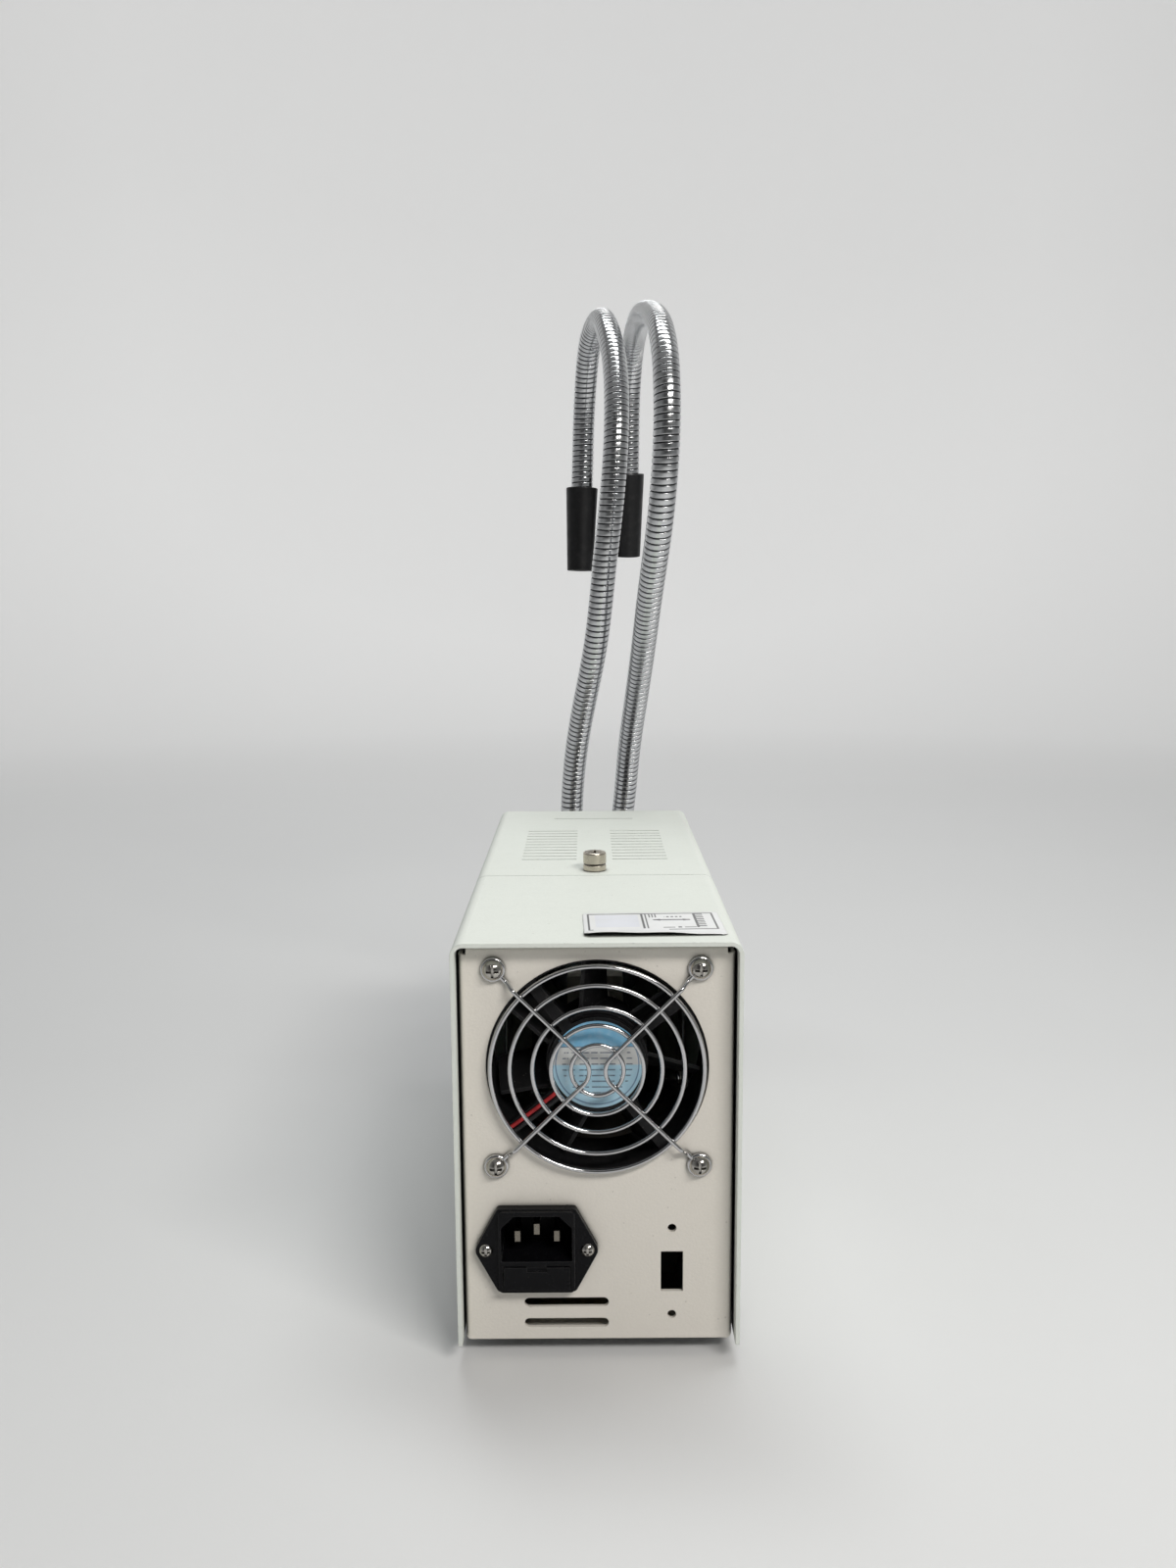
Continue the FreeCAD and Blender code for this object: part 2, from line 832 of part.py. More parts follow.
def make_seam_bridge():
    """Cross strip below the seam that carries both covers and the nut of the thumbscrew."""
    half = inner_half - (cover_bend - sheet)
    low = lid_under - sheet
    shoulder = lid_under - cover_bend
    flange_front = seam_y - seam_gap
    pieces = [
        block(-half, half, bridge_back_y, bridge_front_y, low, lid_under),
        rod_z(0, thumb_y, bridge_nut_r, low - bridge_nut_height, low),
    ]
    for side in (-1, 1):
        x0, x1 = sorted((side * half, side * (half - sheet)))
        pieces.append(block(x0, x1, bridge_back_y, flange_front, shoulder - sheet, lid_under))
        x0, x1 = sorted((side * inner_half, side * (half - sheet)))
        pieces.append(block(x0, x1, bridge_back_y, flange_front, shoulder - sheet, shoulder))
        x0, x1 = sorted((side * inner_half, side * (inner_half - sheet)))
        pieces.append(block(x0, x1, bridge_back_y, flange_front, shoulder - bridge_flange, shoulder))
    bridge = join(pieces)
    bore_r = thumb_shank_r + thread_clearance
    bore = rod_z(0, thumb_y, bore_r, low - bridge_nut_height - over, lid_under + over)
    return bridge.cut(bore).removeSplitter()


def make_screw_collar():
    """Captive collar of the thumbscrew, seated on the lamp cover."""
    top = case_top + thumb_collar_height
    collar = rod_z(0, thumb_y, thumb_head_r, case_top, top)
    bore = rod_z(0, thumb_y, thumb_shank_r + thread_clearance, case_top - over, top + over)
    return collar.makeChamfer(thumb_collar_edge, rims(collar)).cut(bore)


def make_thumb_screw():
    """Thumbscrew: rounded slotted head above the collar and its shank down to the nut."""
    under = case_top + thumb_collar_height + thumb_head_gap
    top = under + thumb_head_height
    head = rod_z(0, thumb_y, thumb_head_r, under, top)
    head = head.makeFillet(thumb_edge, rims(head, lambda edge: edge.CenterOfMass.z > under))
    shank = rod_z(0, thumb_y, thumb_shank_r, lid_under - thumb_shank_below, under)
    screw = join([head, shank])
    arm = thumb_slot_width / 2
    reach = thumb_head_r * recess_share
    low = top - thumb_slot_depth
    flat = block(-reach, reach, thumb_y - arm, thumb_y + arm, low, top + over)
    upright = block(-arm, arm, thumb_y - reach, thumb_y + reach, low, top + over)
    return screw.cut(flat.fuse(upright))


def make_top_sticker():
    """Thin printed sticker on the rear cover, a little askew."""
    y = cover_rear + sticker_from_rear
    left = sticker_x - sticker_width / 2
    near = y - sticker_length / 2
    top = case_top + label_thick
    sticker = block(left, left + sticker_width, near, near + sticker_length, case_top, top)
    sticker = round_edges(sticker, sticker_corner, AXIS_Z)
    sticker.rotate(V(sticker_x, y, 0), AXIS_Z, sticker_turn)
    return sticker


def make_rubber_feet():
    """Four tapered rubber feet with a counterbore for the screw."""
    feet = []
    for x, y in feet_places():
        foot = Part.makeCone(foot_r_bottom, foot_r_top, foot_height, V(x, y, 0), AXIS_Z)
        foot = foot.cut(rod_z(x, y, foot_recess_r, -over, foot_recess))
        feet.append(foot.cut(rod_z(x, y, foot_screw_r + screw_hole_gap, -over, foot_height + over)))
    return group(feet)


def make_foot_screws():
    """Screws that hold the feet to the floor."""
    screws = []
    for x, y in feet_places():
        head = rod_z(x, y, foot_screw_head_r, foot_recess - foot_screw_head, foot_recess)
        shank = rod_z(x, y, foot_screw_r, foot_recess, foot_recess + foot_screw_length)
        arm = recess_width / 2
        reach = foot_screw_head_r * recess_share
        low = foot_recess - foot_screw_head - over
        high = foot_recess - foot_screw_head + foot_screw_head * recess_share
        screw = join([head, shank])
        screw = screw.cut(block(x - reach, x + reach, y - arm, y + arm, low, high))
        screws.append(screw.cut(block(x - arm, x + arm, y - reach, y + reach, low, high)))
    return group(screws)


def make_cover_screws():
    """Countersunk screws, flush with the cover's sides."""
    screws = []
    for side, y in cover_screw_places():
        screw = countersunk(side, y, 0)
        z = pan_top + cover_screw_rise
        reach = cover_screw_head_r * recess_share
        arm = recess_width / 2
        depth = cover_screw_head * recess_share
        x0, x1 = sorted((side * (half_box - depth), side * (half_box + over)))
        screw = screw.cut(block(x0, x1, y - reach, y + reach, z - arm, z + arm))
        screws.append(screw.cut(block(x0, x1, y - arm, y + arm, z - reach, z + reach)))
    return group(screws)


def make_fan_frame():
    """Fan frame: two square flanges, a round barrel, the hub plate on four struts."""
    half = fan_size / 2
    plates = []
    for y in (fan_rear, fan_front - fan_flange):
        plate = block(-half, half, y, y + fan_flange, fan_z - half, fan_z + half)
        plates.append(round_edges(plate, fan_corner, AXIS_Y))
    barrel = rod_y(0, fan_z, fan_bore_r + fan_wall, fan_rear, fan_front)
    frame = join(plates + [barrel])
    frame = frame.cut(rod_y(0, fan_z, fan_bore_r, fan_rear - over, fan_front + over))
    cutters = []
    for x, z in fan_corners():
        cutters.append(rod_y(x, z, guard_screw_r + screw_hole_gap, fan_rear - over, fan_front + over))
    frame = frame.cut(cutters)
    hub = rod_y(0, fan_z, fan_hub_r, hub_rear, hub_front)
    tube = rod_y(0, fan_z, fan_tube_r, hub_front, hub_front + fan_tube_depth)
    struts = []
    reach = fan_bore_r + fan_wall / 2
    low = fan_z - fan_strut_width / 2
    for angle in fan_strut_angles:
        strut = block(fan_tube_r, reach, hub_rear, hub_front, low, low + fan_strut_width)
        strut.rotate(V(0, 0, fan_z), AXIS_Y, -angle)
        struts.append(strut)
    frame = join([frame, hub, tube] + struts)
    bore_r = fan_shaft_r + fan_running_gap
    bore = rod_y(0, fan_z, bore_r, hub_front, hub_front + fan_tube_depth + over)
    low = fan_z - half * lead_notch_shares[1]
    high = fan_z - half * lead_notch_shares[0]
    rear = fan_rear - over
    shallow = block(-half - over, lead_notch_shallow - half, rear, hub_rear, low, high)
    deep = block(-half - over, lead_notch_deep - half, rear, fan_rear + fan_flange + over, low, high)
    return frame.cut([bore, shallow, deep]).removeSplitter()


def make_fan_coils():
    """Stator of the fan motor: a laminated ring with slots between its poles."""
    rear = rotor_rear + fan_rotor_gap
    ring = rod_y(0, fan_z, fan_coil_r, rear, rear + fan_coil_length)
    bore = rod_y(0, fan_z, fan_tube_r + fan_running_gap, hub_front - over, rotor_front + over)
    ring = ring.cut(bore)
    inner = fan_tube_r + fan_coil_slot
    low = fan_z - fan_coil_slot / 2
    for index in range(fan_coil_poles):
        gap = block(inner, fan_coil_r + over, hub_front, rotor_front + over, low, low + fan_coil_slot)
        gap.rotate(V(0, 0, fan_z), AXIS_Y, 360 * index / fan_coil_poles)
        ring = ring.cut(gap)
    return ring


def make_fan_label():
    """Round label on the hub plate."""
    return rod_y(0, fan_z, fan_label_r, hub_rear - label_thick, hub_rear)


def blade_section(radius, lean):
    """Closed outline of a fan blade at one radius, leaning and slightly cambered."""
    middle = (rotor_rear + rotor_front) / 2
    run = (rotor_front - rotor_rear) / 2 - fan_blade_thick
    slope = math.tan(math.radians(lean))
    near = []
    far = []
    for share in fan_blade_chord_shares:
        sweep = run * slope * share * (1 - fan_blade_camber_share * share)
        near.append(V(sweep - fan_blade_thick / 2, middle + run * share, fan_z + radius))
        far.append(V(sweep + fan_blade_thick / 2, middle + run * share, fan_z + radius))
    return Part.makePolygon(near + far[::-1] + near[:1])


def make_fan_impeller():
    """Impeller: a cup over the motor with swept, twisted blades."""
    cup_floor = rotor_front - fan_cup_wall
    boss_rear = cup_floor - fan_cup_wall
    cup = rod_y(0, fan_z, fan_cup_r, rotor_rear, rotor_front)
    cup = cup.cut(rod_y(0, fan_z, fan_cup_r - fan_cup_wall, rotor_rear - over, cup_floor))
    root = blade_section(fan_cup_r - fan_cup_wall / 2, fan_blade_root_sweep)
    tip = blade_section(fan_blade_r, fan_blade_tip_sweep)
    blades = []
    for index in range(fan_blades):
        blade = Part.makeLoft([root, tip], True, True)
        blade.rotate(V(0, 0, fan_z), AXIS_Y, 360 * index / fan_blades)
        blades.append(blade)
    boss = rod_y(0, fan_z, fan_shaft_r + fan_cup_wall, boss_rear, cup_floor)
    impeller = join([cup, boss] + blades)
    return impeller.cut(rod_y(0, fan_z, fan_shaft_r, boss_rear - over, rotor_front + over))


def make_fan_shaft():
    """Steel shaft pressed in the impeller, running in the frame's tube."""
    return rod_y(0, fan_z, fan_shaft_r, hub_front + fan_running_gap, rotor_front)


def make_fan_leads():
    """Two leads that leave the hub over a strut, pass the frame and run to the board."""
    half = fan_size / 2
    flat = hub_rear - lead_r - fan_running_gap
    edge_x = -half - lead_case_gap
    leads = []
    foot_y = board_rear + lead_foot_inset
    for index in range(2):
        shift = V(lead_stagger, 0, -lead_pitch) * index
        foot_x = edge_x + lead_foot_inset + lead_pitch * index
        points = [
            V(-fan_hub_r * lead_hub_shares[0], flat, fan_z - fan_hub_r * lead_hub_shares[1]) + shift,
            V(-half * lead_flange_shares[0], flat, fan_z - half * lead_flange_shares[1]) + shift,
            V(edge_x, fan_front / 2, fan_z - half * lead_drop_shares[0]) + shift,
            V(edge_x, core_rear, fan_z - half * lead_drop_shares[1]) + shift,
            V(edge_x, board_rear - capacitor_r, board_top + capacitor_height) + shift,
            V(foot_x, foot_y, board_top + capacitor_r),
            V(foot_x, foot_y, board_top),
        ]
        leads.append(bent_rod(points, lead_r, lead_bend))
    return group(leads)


def make_finger_guard():
    """Chrome wire guard: five rings, two V-shaped spokes and a loop round each screw."""
    pieces = []
    for radius in guard_ring_radii:
        pieces.append(Part.makeTorus(radius, guard_wire_r, V(0, -guard_ring_y, fan_z), AXIS_Y))
    for x, z in fan_corners():
        pieces.append(Part.makeTorus(guard_loop_r, guard_wire_r, V(x, -guard_wire_r, z), AXIS_Y))
    loop_at = fan_pitch_half - guard_loop_r * DIAGONAL_SHARE
    step_at = loop_at - guard_step_from_loop * DIAGONAL_SHARE
    up_at = step_at - guard_step_length * DIAGONAL_SHARE
    half_way = up_at / 2
    reaches = [
        (loop_at, guard_wire_r),
        (step_at, guard_wire_r),
        (up_at, guard_spoke_y),
        (half_way, guard_spoke_y),
    ]
    for side in (-1, 1):
        spokes = []
        for level in (-1, 1):
            points = [V(side * reach, -y, fan_z + level * reach) for reach, y in reaches]
            spokes.append(bent_rod(points, guard_wire_r, guard_step_bend))
        vertex = [
            V(side * half_way, -guard_spoke_y, fan_z + half_way),
            V(0, -guard_spoke_y, fan_z),
            V(side * half_way, -guard_spoke_y, fan_z - half_way),
        ]
        spokes.append(bent_rod(vertex, guard_wire_r, guard_vertex_bend))
        pieces.append(spokes[0].fuse(spokes[1:]))
    return join(pieces)


def make_guard_screws():
    """Four cross-head screws through the guard, the panel and the fan flange."""
    seat = -2 * guard_wire_r
    size = (guard_screw_r, guard_screw_head_r, guard_screw_head_height, guard_screw_length)
    return group([pan_screw(x, z, seat, -1, *size) for x, z in fan_corners()])


def make_guard_nuts():
    """Nuts behind the fan's rear flange."""
    nuts = []
    start = fan_rear + fan_flange
    end = start + guard_nut_height
    for x, z in fan_corners():
        nut = hexagon_y(x, z, guard_nut_r, start, end)
        nuts.append(nut.cut(rod_y(x, z, guard_screw_r + thread_clearance, start - over, end + over)))
    return group(nuts)


def inlet_block(inset, y0, y1):
    """Block of the inlet's plate, drawn in by an inset on all four sides."""
    half = inlet_plate_width / 2 - inset
    low = inlet_z - inlet_plate_bottom + inset
    high = inlet_z + inlet_plate_top - inset
    return block(inlet_x - half, inlet_x + half, y0, y1, low, high)


def inlet_screw_places():
    """X of the inlet's two screws."""
    return [inlet_x + side * inlet_screw_pitch / 2 for side in (-1, 1)]


def inlet_outline():
    """Inlet flange outline: a rectangle drawn out to a rounded ear at each screw."""
    half = inlet_plate_width / 2
    ear = inlet_screw_pitch / 2
    right = []
    for level, sign in ((inlet_plate_top, 1), (-inlet_plate_bottom, -1)):
        corner = V(half, 0, level)
        to_ear = V(ear, 0, 0) - corner
        reach = to_ear.Length
        swing = math.acos(inlet_ear_r / reach)
        base = math.atan2(-to_ear.z, -to_ear.x)
        angle = base - sign * swing
        right.append((corner, V(ear + inlet_ear_r * math.cos(angle), 0, inlet_ear_r * math.sin(angle))))
    top_corner, top_touch = right[0]
    low_corner, low_touch = right[1]
    tip = V(ear + inlet_ear_r, 0, 0)

    def place(point, side):
        return V(inlet_x + side * point.x, 0, inlet_z + point.z)

    edges = []
    for side in (-1, 1):
        edges.append(Part.LineSegment(place(top_corner, side), place(top_touch, side)).toShape())
        edges.append(Part.Arc(place(top_touch, side), place(tip, side), place(low_touch, side)).toShape())
        edges.append(Part.LineSegment(place(low_touch, side), place(low_corner, side)).toShape())
    for corner in (top_corner, low_corner):
        edges.append(Part.LineSegment(place(corner, -1), place(corner, 1)).toShape())
    return Part.Face(Part.Wire(Part.__sortEdges__(edges)))


def make_mains_inlet():
    """Moulded mains inlet: eared flange, raised frame, socket and the fuse drawer's well."""
    flange = inlet_outline().extrude(AXIS_Y * -inlet_flange)
    half = inlet_plate_width / 2
    flange = round_edges(flange, inlet_corner, AXIS_Y, lambda c: abs(abs(c.x - inlet_x) - half) < over)
    raised = inlet_block(inlet_frame_inset, inlet_face, -inlet_flange)
    raised = round_edges(raised, inlet_corner, AXIS_Y)
    body = inlet_block(inlet_body_inset, -inlet_flange, inlet_body_depth)
    inlet = join([flange, raised, body])
    mouth = inlet_face - over
    well_end = inlet_face + socket_depth
    well = bar_y(inlet_x, socket_z, socket_width / 2, socket_height / 2, mouth, well_end)
    upper = [
        edge
        for edge in well.Edges
        if abs(edge.tangentAt(edge.FirstParameter).y) > PARALLEL_SHARE and edge.CenterOfMass.z > socket_z
    ]
    well = well.makeChamfer(socket_chamfer, upper)
    half_w = drawer_width / 2 + drawer_gap
    half_h = drawer_height / 2 + drawer_gap
    drawer_end = inlet_face + drawer_depth + drawer_gap
    cutters = [well, bar_y(inlet_x, drawer_z, half_w, half_h, mouth, drawer_end)]
    for x in inlet_screw_places():
        cutters.append(rod_y(x, inlet_z, inlet_screw_r + screw_hole_gap, -inlet_flange - over, over))
    for x, z, recess in pin_places():
        cutters.append(pin_blade(x, z, recess, over, over))
    return inlet.cut(cutters)


def pin_places():
    """X, z and recess of the three pins: earth in the middle, a little higher and longer."""
    middle = socket_z - pin_earth_rise / 2
    return [
        (inlet_x - pin_spread, middle, pin_tip_recess),
        (inlet_x, middle + pin_earth_rise, pin_earth_recess),
        (inlet_x + pin_spread, middle, pin_tip_recess),
    ]


def pin_blade(x, z, recess, front, back):
    """One blade from near the socket's mouth to its tail behind the moulding."""
    start = inlet_face + recess - front
    end = inlet_body_depth + pin_tail + back
    return bar_y(x, z, pin_width / 2, pin_height / 2, start, end)


def make_inlet_pins():
    """Three plated blades with their tails."""
    return group([pin_blade(x, z, recess, 0, 0) for x, z, recess in pin_places()])


def make_fuse_drawer():
    """Fuse drawer: a front cap with a finger notch and a tray with a trough."""
    half_w = drawer_width / 2
    half_h = drawer_height / 2
    front = inlet_face - drawer_cap_proud
    cap_end = front + drawer_cap
    cap = bar_y(inlet_x, drawer_z, half_w, half_h, front, cap_end)
    cap_top = drawer_z + half_h
    notch_left = inlet_x - drawer_notch_width / 2
    notch_right = notch_left + drawer_notch_width
    notch_end = front + drawer_cap / 2
    notch_low = cap_top - drawer_notch_height
    notch = block(notch_left, notch_right, front - over, notch_end, notch_low, cap_top + over)
    tray_low = drawer_z - half_h
    tray_top = tray_low + drawer_tray_height
    tray_half = half_w - drawer_gap
    tray_end = inlet_face + drawer_depth - drawer_gap
    tray = block(inlet_x - tray_half, inlet_x + tray_half, cap_end, tray_end, tray_low, tray_top)
    drawer = join([cap.cut(notch), tray])
    y = fuse_y()
    radius = fuse_r + fuse_gap
    half = fuse_length / 2 + fuse_gap
    trough = rod_x(y, fuse_z(), radius, inlet_x - half, inlet_x + half)
    mouth = block(inlet_x - half, inlet_x + half, y - radius, y + radius, fuse_z(), tray_top + over)
    return drawer.cut(trough).cut(mouth).removeSplitter()


def fuse_y():
    """Fuse axis, in the middle of the drawer's tray."""
    return inlet_face + drawer_depth / 2


def fuse_z():
    """Fuse axis height, low enough to lie inside the tray."""
    return drawer_z - drawer_height / 2 + drawer_cap + fuse_r


def make_fuse():
    """Glass fuse with two metal end caps."""
    half = fuse_length / 2
    y = fuse_y()
    z = fuse_z()
    glass = rod_x(y, z, fuse_glass_r, inlet_x - half, inlet_x + half)
    caps = []
    for side in (-1, 1):
        x0, x1 = sorted((inlet_x + side * half, inlet_x + side * (half - fuse_cap_length)))
        caps.append(rod_x(y, z, fuse_r, x0, x1))
    return join([glass] + caps)


def make_inlet_screws():
    """Two cross-head screws through the inlet's ears."""
    size = (inlet_screw_r, inlet_screw_head_r, inlet_screw_head_height, inlet_screw_length)
    return group([pan_screw(x, inlet_z, -inlet_flange, -1, *size) for x in inlet_screw_places()])


def make_inlet_nuts():
    """Nuts of the inlet screws, behind the panel."""
    nuts = []
    end = sheet + inlet_nut_height
    for x in inlet_screw_places():
        nut = hexagon_y(x, inlet_z, inlet_nut_r, sheet, end)
        nuts.append(nut.cut(rod_y(x, inlet_z, inlet_screw_r + thread_clearance, 0, end + over)))
    return group(nuts)


def make_lamp_reflector():
    """Glass reflector of the halogen lamp: a bowl with a rim and a rear neck."""
    back = lamp_back
    neck = lamp_neck_back
    rim = lamp_rim_y
    seat = bracket_front
    bow_y = (seat + back) / 2
    bow_r = lamp_neck_r + (lamp_reflector_r - lamp_neck_r) * DIAGONAL_SHARE

    def spot(radius, y):
        return V(radius, y, port_z)

    outer = [
        spot(lamp_rim_r, rim),
        spot(lamp_rim_r, seat),
        spot(lamp_reflector_r, seat),
        spot(lamp_neck_r, back),
        spot(lamp_neck_r, neck),
    ]
    inner = [
        spot(lamp_neck_r - lamp_wall, neck),
        spot(lamp_neck_r - lamp_wall, back + lamp_wall),
        spot(lamp_reflector_r - lamp_wall, rim),
    ]
    bow = spot(bow_r, bow_y)
    inner_bow = spot(bow_r - lamp_wall, bow_y + lamp_wall)
    edges = [
        Part.LineSegment(outer[0], outer[1]),
        Part.LineSegment(outer[1], outer[2]),
        Part.Arc(outer[2], bow, outer[3]),
        Part.LineSegment(outer[3], outer[4]),
        Part.LineSegment(outer[4], inner[0]),
        Part.LineSegment(inner[0], inner[1]),
        Part.Arc(inner[1], inner_bow, inner[2]),
        Part.LineSegment(inner[2], outer[0]),
    ]
    face = Part.Face(Part.Wire([edge.toShape() for edge in edges]))
    return face.revolve(V(0, 0, port_z), AXIS_Y, 360)


def make_lamp_capsule():
    """Quartz capsule with its pinch and two pins, cemented in the reflector's neck."""
    neck = lamp_neck_back
    seat = lamp_neck_r - lamp_wall
    base = rod_y(0, port_z, seat, neck, neck + lamp_neck_length / 2)
    tube = rod_y(0, port_z, lamp_capsule_r, neck, neck + lamp_capsule_length)
    dome = Part.makeSphere(lamp_capsule_r, V(0, neck + lamp_capsule_length, port_z))
    pins = []
    for side in (-1, 1):
        pins.append(rod_y(side * lamp_pin_spread, port_z, lamp_pin_r, neck - lamp_pin_length, neck))
    return join([base, tube, dome] + pins)


def make_lamp_socket():
    """Ceramic socket behind the lamp."""
    front = lamp_neck_back
    half_w = lamp_socket_width / 2
    half_h = lamp_socket_height / 2
    socket = bar_y(0, port_z, half_w, half_h, front - lamp_socket_length, front)
    socket = round_edges(socket, lamp_socket_corner, AXIS_Y)
    hole_r = lamp_pin_r + lamp_pin_gap
    hole_end = front - lamp_pin_length - lamp_pin_gap
    for side in (-1, 1):
        socket = socket.cut(rod_y(side * lamp_pin_spread, port_z, hole_r, hole_end, front + over))
    return socket


def make_lamp_leads():
    """Two leads from the socket down to the board's terminal block."""
    back = lamp_neck_back - lamp_socket_length
    turn_y = back - lamp_lead_reach
    y, z = terminal_place()
    leads = []
    for side in (-1, 1):
        x = side * lamp_lead_spread
        points = [
            V(x, back, port_z),
            V(x, turn_y, port_z),
            V(x, turn_y, port_z - lamp_lead_drop),
            V(x, y, z + lamp_lead_rise),
            V(x, y, z),
        ]
        leads.append(bent_rod(points, lamp_lead_r, lamp_lead_bend))
    return group(leads)


def terminal_place():
    """Middle of the terminal block's top, as y and z."""
    return board_rear + board_length - terminal_depth, board_top + terminal_height


def make_lamp_bracket():
    """Upright lamp plate with its foot on the floor and a shelf for the heat filter."""
    half = bracket_width / 2
    back = bracket_front - sheet
    plate = block(-half, half, back, bracket_front, pan_top, port_z + bracket_top)
    plate = round_edges(plate, bracket_corner, AXIS_Y, lambda c: c.z > port_z)
    foot = block(-half, half, back, bracket_front + bracket_foot, pan_top, pan_top + sheet)
    wide = filter_size / 2 + sheet
    low = shelf_z - sheet
    shelf = block(-wide, wide, back, bracket_front + bracket_shelf, low, shelf_z)
    lugs = []
    for near in (filter_y - sheet, filter_y + filter_thick):
        lugs.append(block(-wide, wide, near, near + sheet, low, shelf_z + filter_lug))
    shelf = join([shelf] + lugs)
    hole_r = lamp_reflector_r + bracket_hole_gap
    hole = rod_y(0, port_z, hole_r, back - over, bracket_front + over)
    relief_r = lamp_rim_r + bracket_hole_gap
    relief = rod_y(0, port_z, relief_r, bracket_front, lamp_rim_y + over)
    return join([plate, foot, shelf]).cut([hole, relief]).removeSplitter()


def make_heat_filter():
    """Square heat-absorbing glass on the bracket's shelf, in front of the lamp."""
    half = filter_size / 2
    glass = block(-half, half, filter_y, filter_y + filter_thick, shelf_z, port_z + half)
    return round_edges(glass, filter_corner, AXIS_Y, lambda c: c.z > port_z)


def make_light_port():
    """Light port: flange on the front panel, boss outside, spigot inside, one bore."""
    flange = rod_y(0, port_z, port_flange_r, front_y, front_y + port_flange)
    boss = rod_y(0, port_z, port_boss_r, front_y, boss_end)
    spigot = rod_y(0, port_z, port_spigot_r, port_inner, front_y)
    port = join([flange, boss, spigot])
    port = port.makeChamfer(port_boss_edge, rims(port, lambda edge: edge.CenterOfMass.y > boss_end - over))
    port = port.cut(rod_y(0, port_z, ferrule_r, port_inner - over, boss_end + over))
    cutters = [rod_z(0, lock_y(), lock_shank_r + thread_clearance, port_z, port_z + port_boss_r + over)]
    hole_r = port_screw_r + screw_hole_gap
    for x, z in port_screw_places():
        cutters.append(rod_y(x, z, hole_r, front_y - over, front_y + port_flange + over))
    return port.cut(cutters)


def lock_y():
    """Lock screw axis."""
    return boss_end - lock_from_boss_end


def make_port_screws():
    """Cross-head screws that hold the port flange."""
    seat = front_y + port_flange
    size = (port_screw_r, port_screw_head_r, port_screw_head, port_screw_length)
    return group([pan_screw(x, z, seat, 1, *size) for x, z in port_screw_places()])


def make_port_lock_screw():
    """Knurled lock screw on top of the port's boss."""
    y = lock_y()
    under = port_z + port_boss_r + lock_neck
    shank = rod_z(0, y, lock_shank_r, port_z + ferrule_r + lock_tip_gap, under)
    top = under + lock_head_height
    head = rod_z(0, y, lock_head_r, under, top)
    head = head.makeChamfer(lock_knurl_r, rims(head))
    grooves = []
    for index in range(lock_knurls):
        angle = math.radians(360 * index / lock_knurls)
        x = lock_head_r * math.cos(angle)
        groove_y = y + lock_head_r * math.sin(angle)
        grooves.append(rod_z(x, groove_y, lock_knurl_r, under - over, top + over))
    return join([head.cut(grooves), shank])


def make_guide_ferrule():
    """Steel ferrule of the light guide, with the collar that stops it at the port."""
    r = ferrule_r - ferrule_gap
    start = collar_y - ferrule_length
    tube = rod_y(0, port_z, r, start, block_rear)
    collar = rod_y(0, port_z, guide_collar_r, collar_y, block_rear)
    rear_rim = rims(collar, lambda edge: edge.CenterOfMass.y < block_rear)
    collar = collar.makeChamfer(guide_collar_edge, rear_rim)
    ferrule = join([tube, collar])
    return ferrule.cut(rod_y(0, port_z, r - ferrule_wall, start - over, block_rear + over))


def stadium(y, half, radius):
    """Flat oval wire across Y, centred on the guide's axis."""
    top = port_z + radius
    low = port_z - radius
    edges = [
        Part.LineSegment(V(-half, y, top), V(half, y, top)).toShape(),
        Part.Arc(V(half, y, top), V(half + radius, y, port_z), V(half, y, low)).toShape(),
        Part.LineSegment(V(half, y, low), V(-half, y, low)).toShape(),
        Part.Arc(V(-half, y, low), V(-half - radius, y, port_z), V(-half, y, top)).toShape(),
    ]
    return Part.Wire(edges)


def split_start():
    """Where the common fibre bundle begins to spread."""
    return block_front - fibre_split_back - fibre_split_length


def make_junction_block():
    """Block that takes the ferrule at the back and two hoses at the front."""
    body = bar_y(0, port_z, block_half_width, block_half_height, block_rear, block_front)
    body = round_edges(body, block_corner, AXIS_Y)
    fan_out = Part.makeLoft(
        [
            stadium(block_rear - over, fibre_trunk_half, fibre_trunk_r + fibre_clear),
            stadium(split_start(), fibre_trunk_half, fibre_trunk_r + fibre_clear),
            stadium(split_start() + fibre_split_length, hose_x, fibre_r + fibre_clear),
            stadium(split_start() + fibre_split_length + over, hose_x, fibre_r + fibre_clear),
        ],
        True,
        True,
    )
    cutters = [fan_out]
    socket_r = hose_peak_r + hose_socket_gap
    for side in (-1, 1):
        socket_end = block_front - hose_in_block
        cutters.append(rod_y(side * hose_x, port_z, socket_r, socket_end, block_front + over))
    return body.cut(cutters)


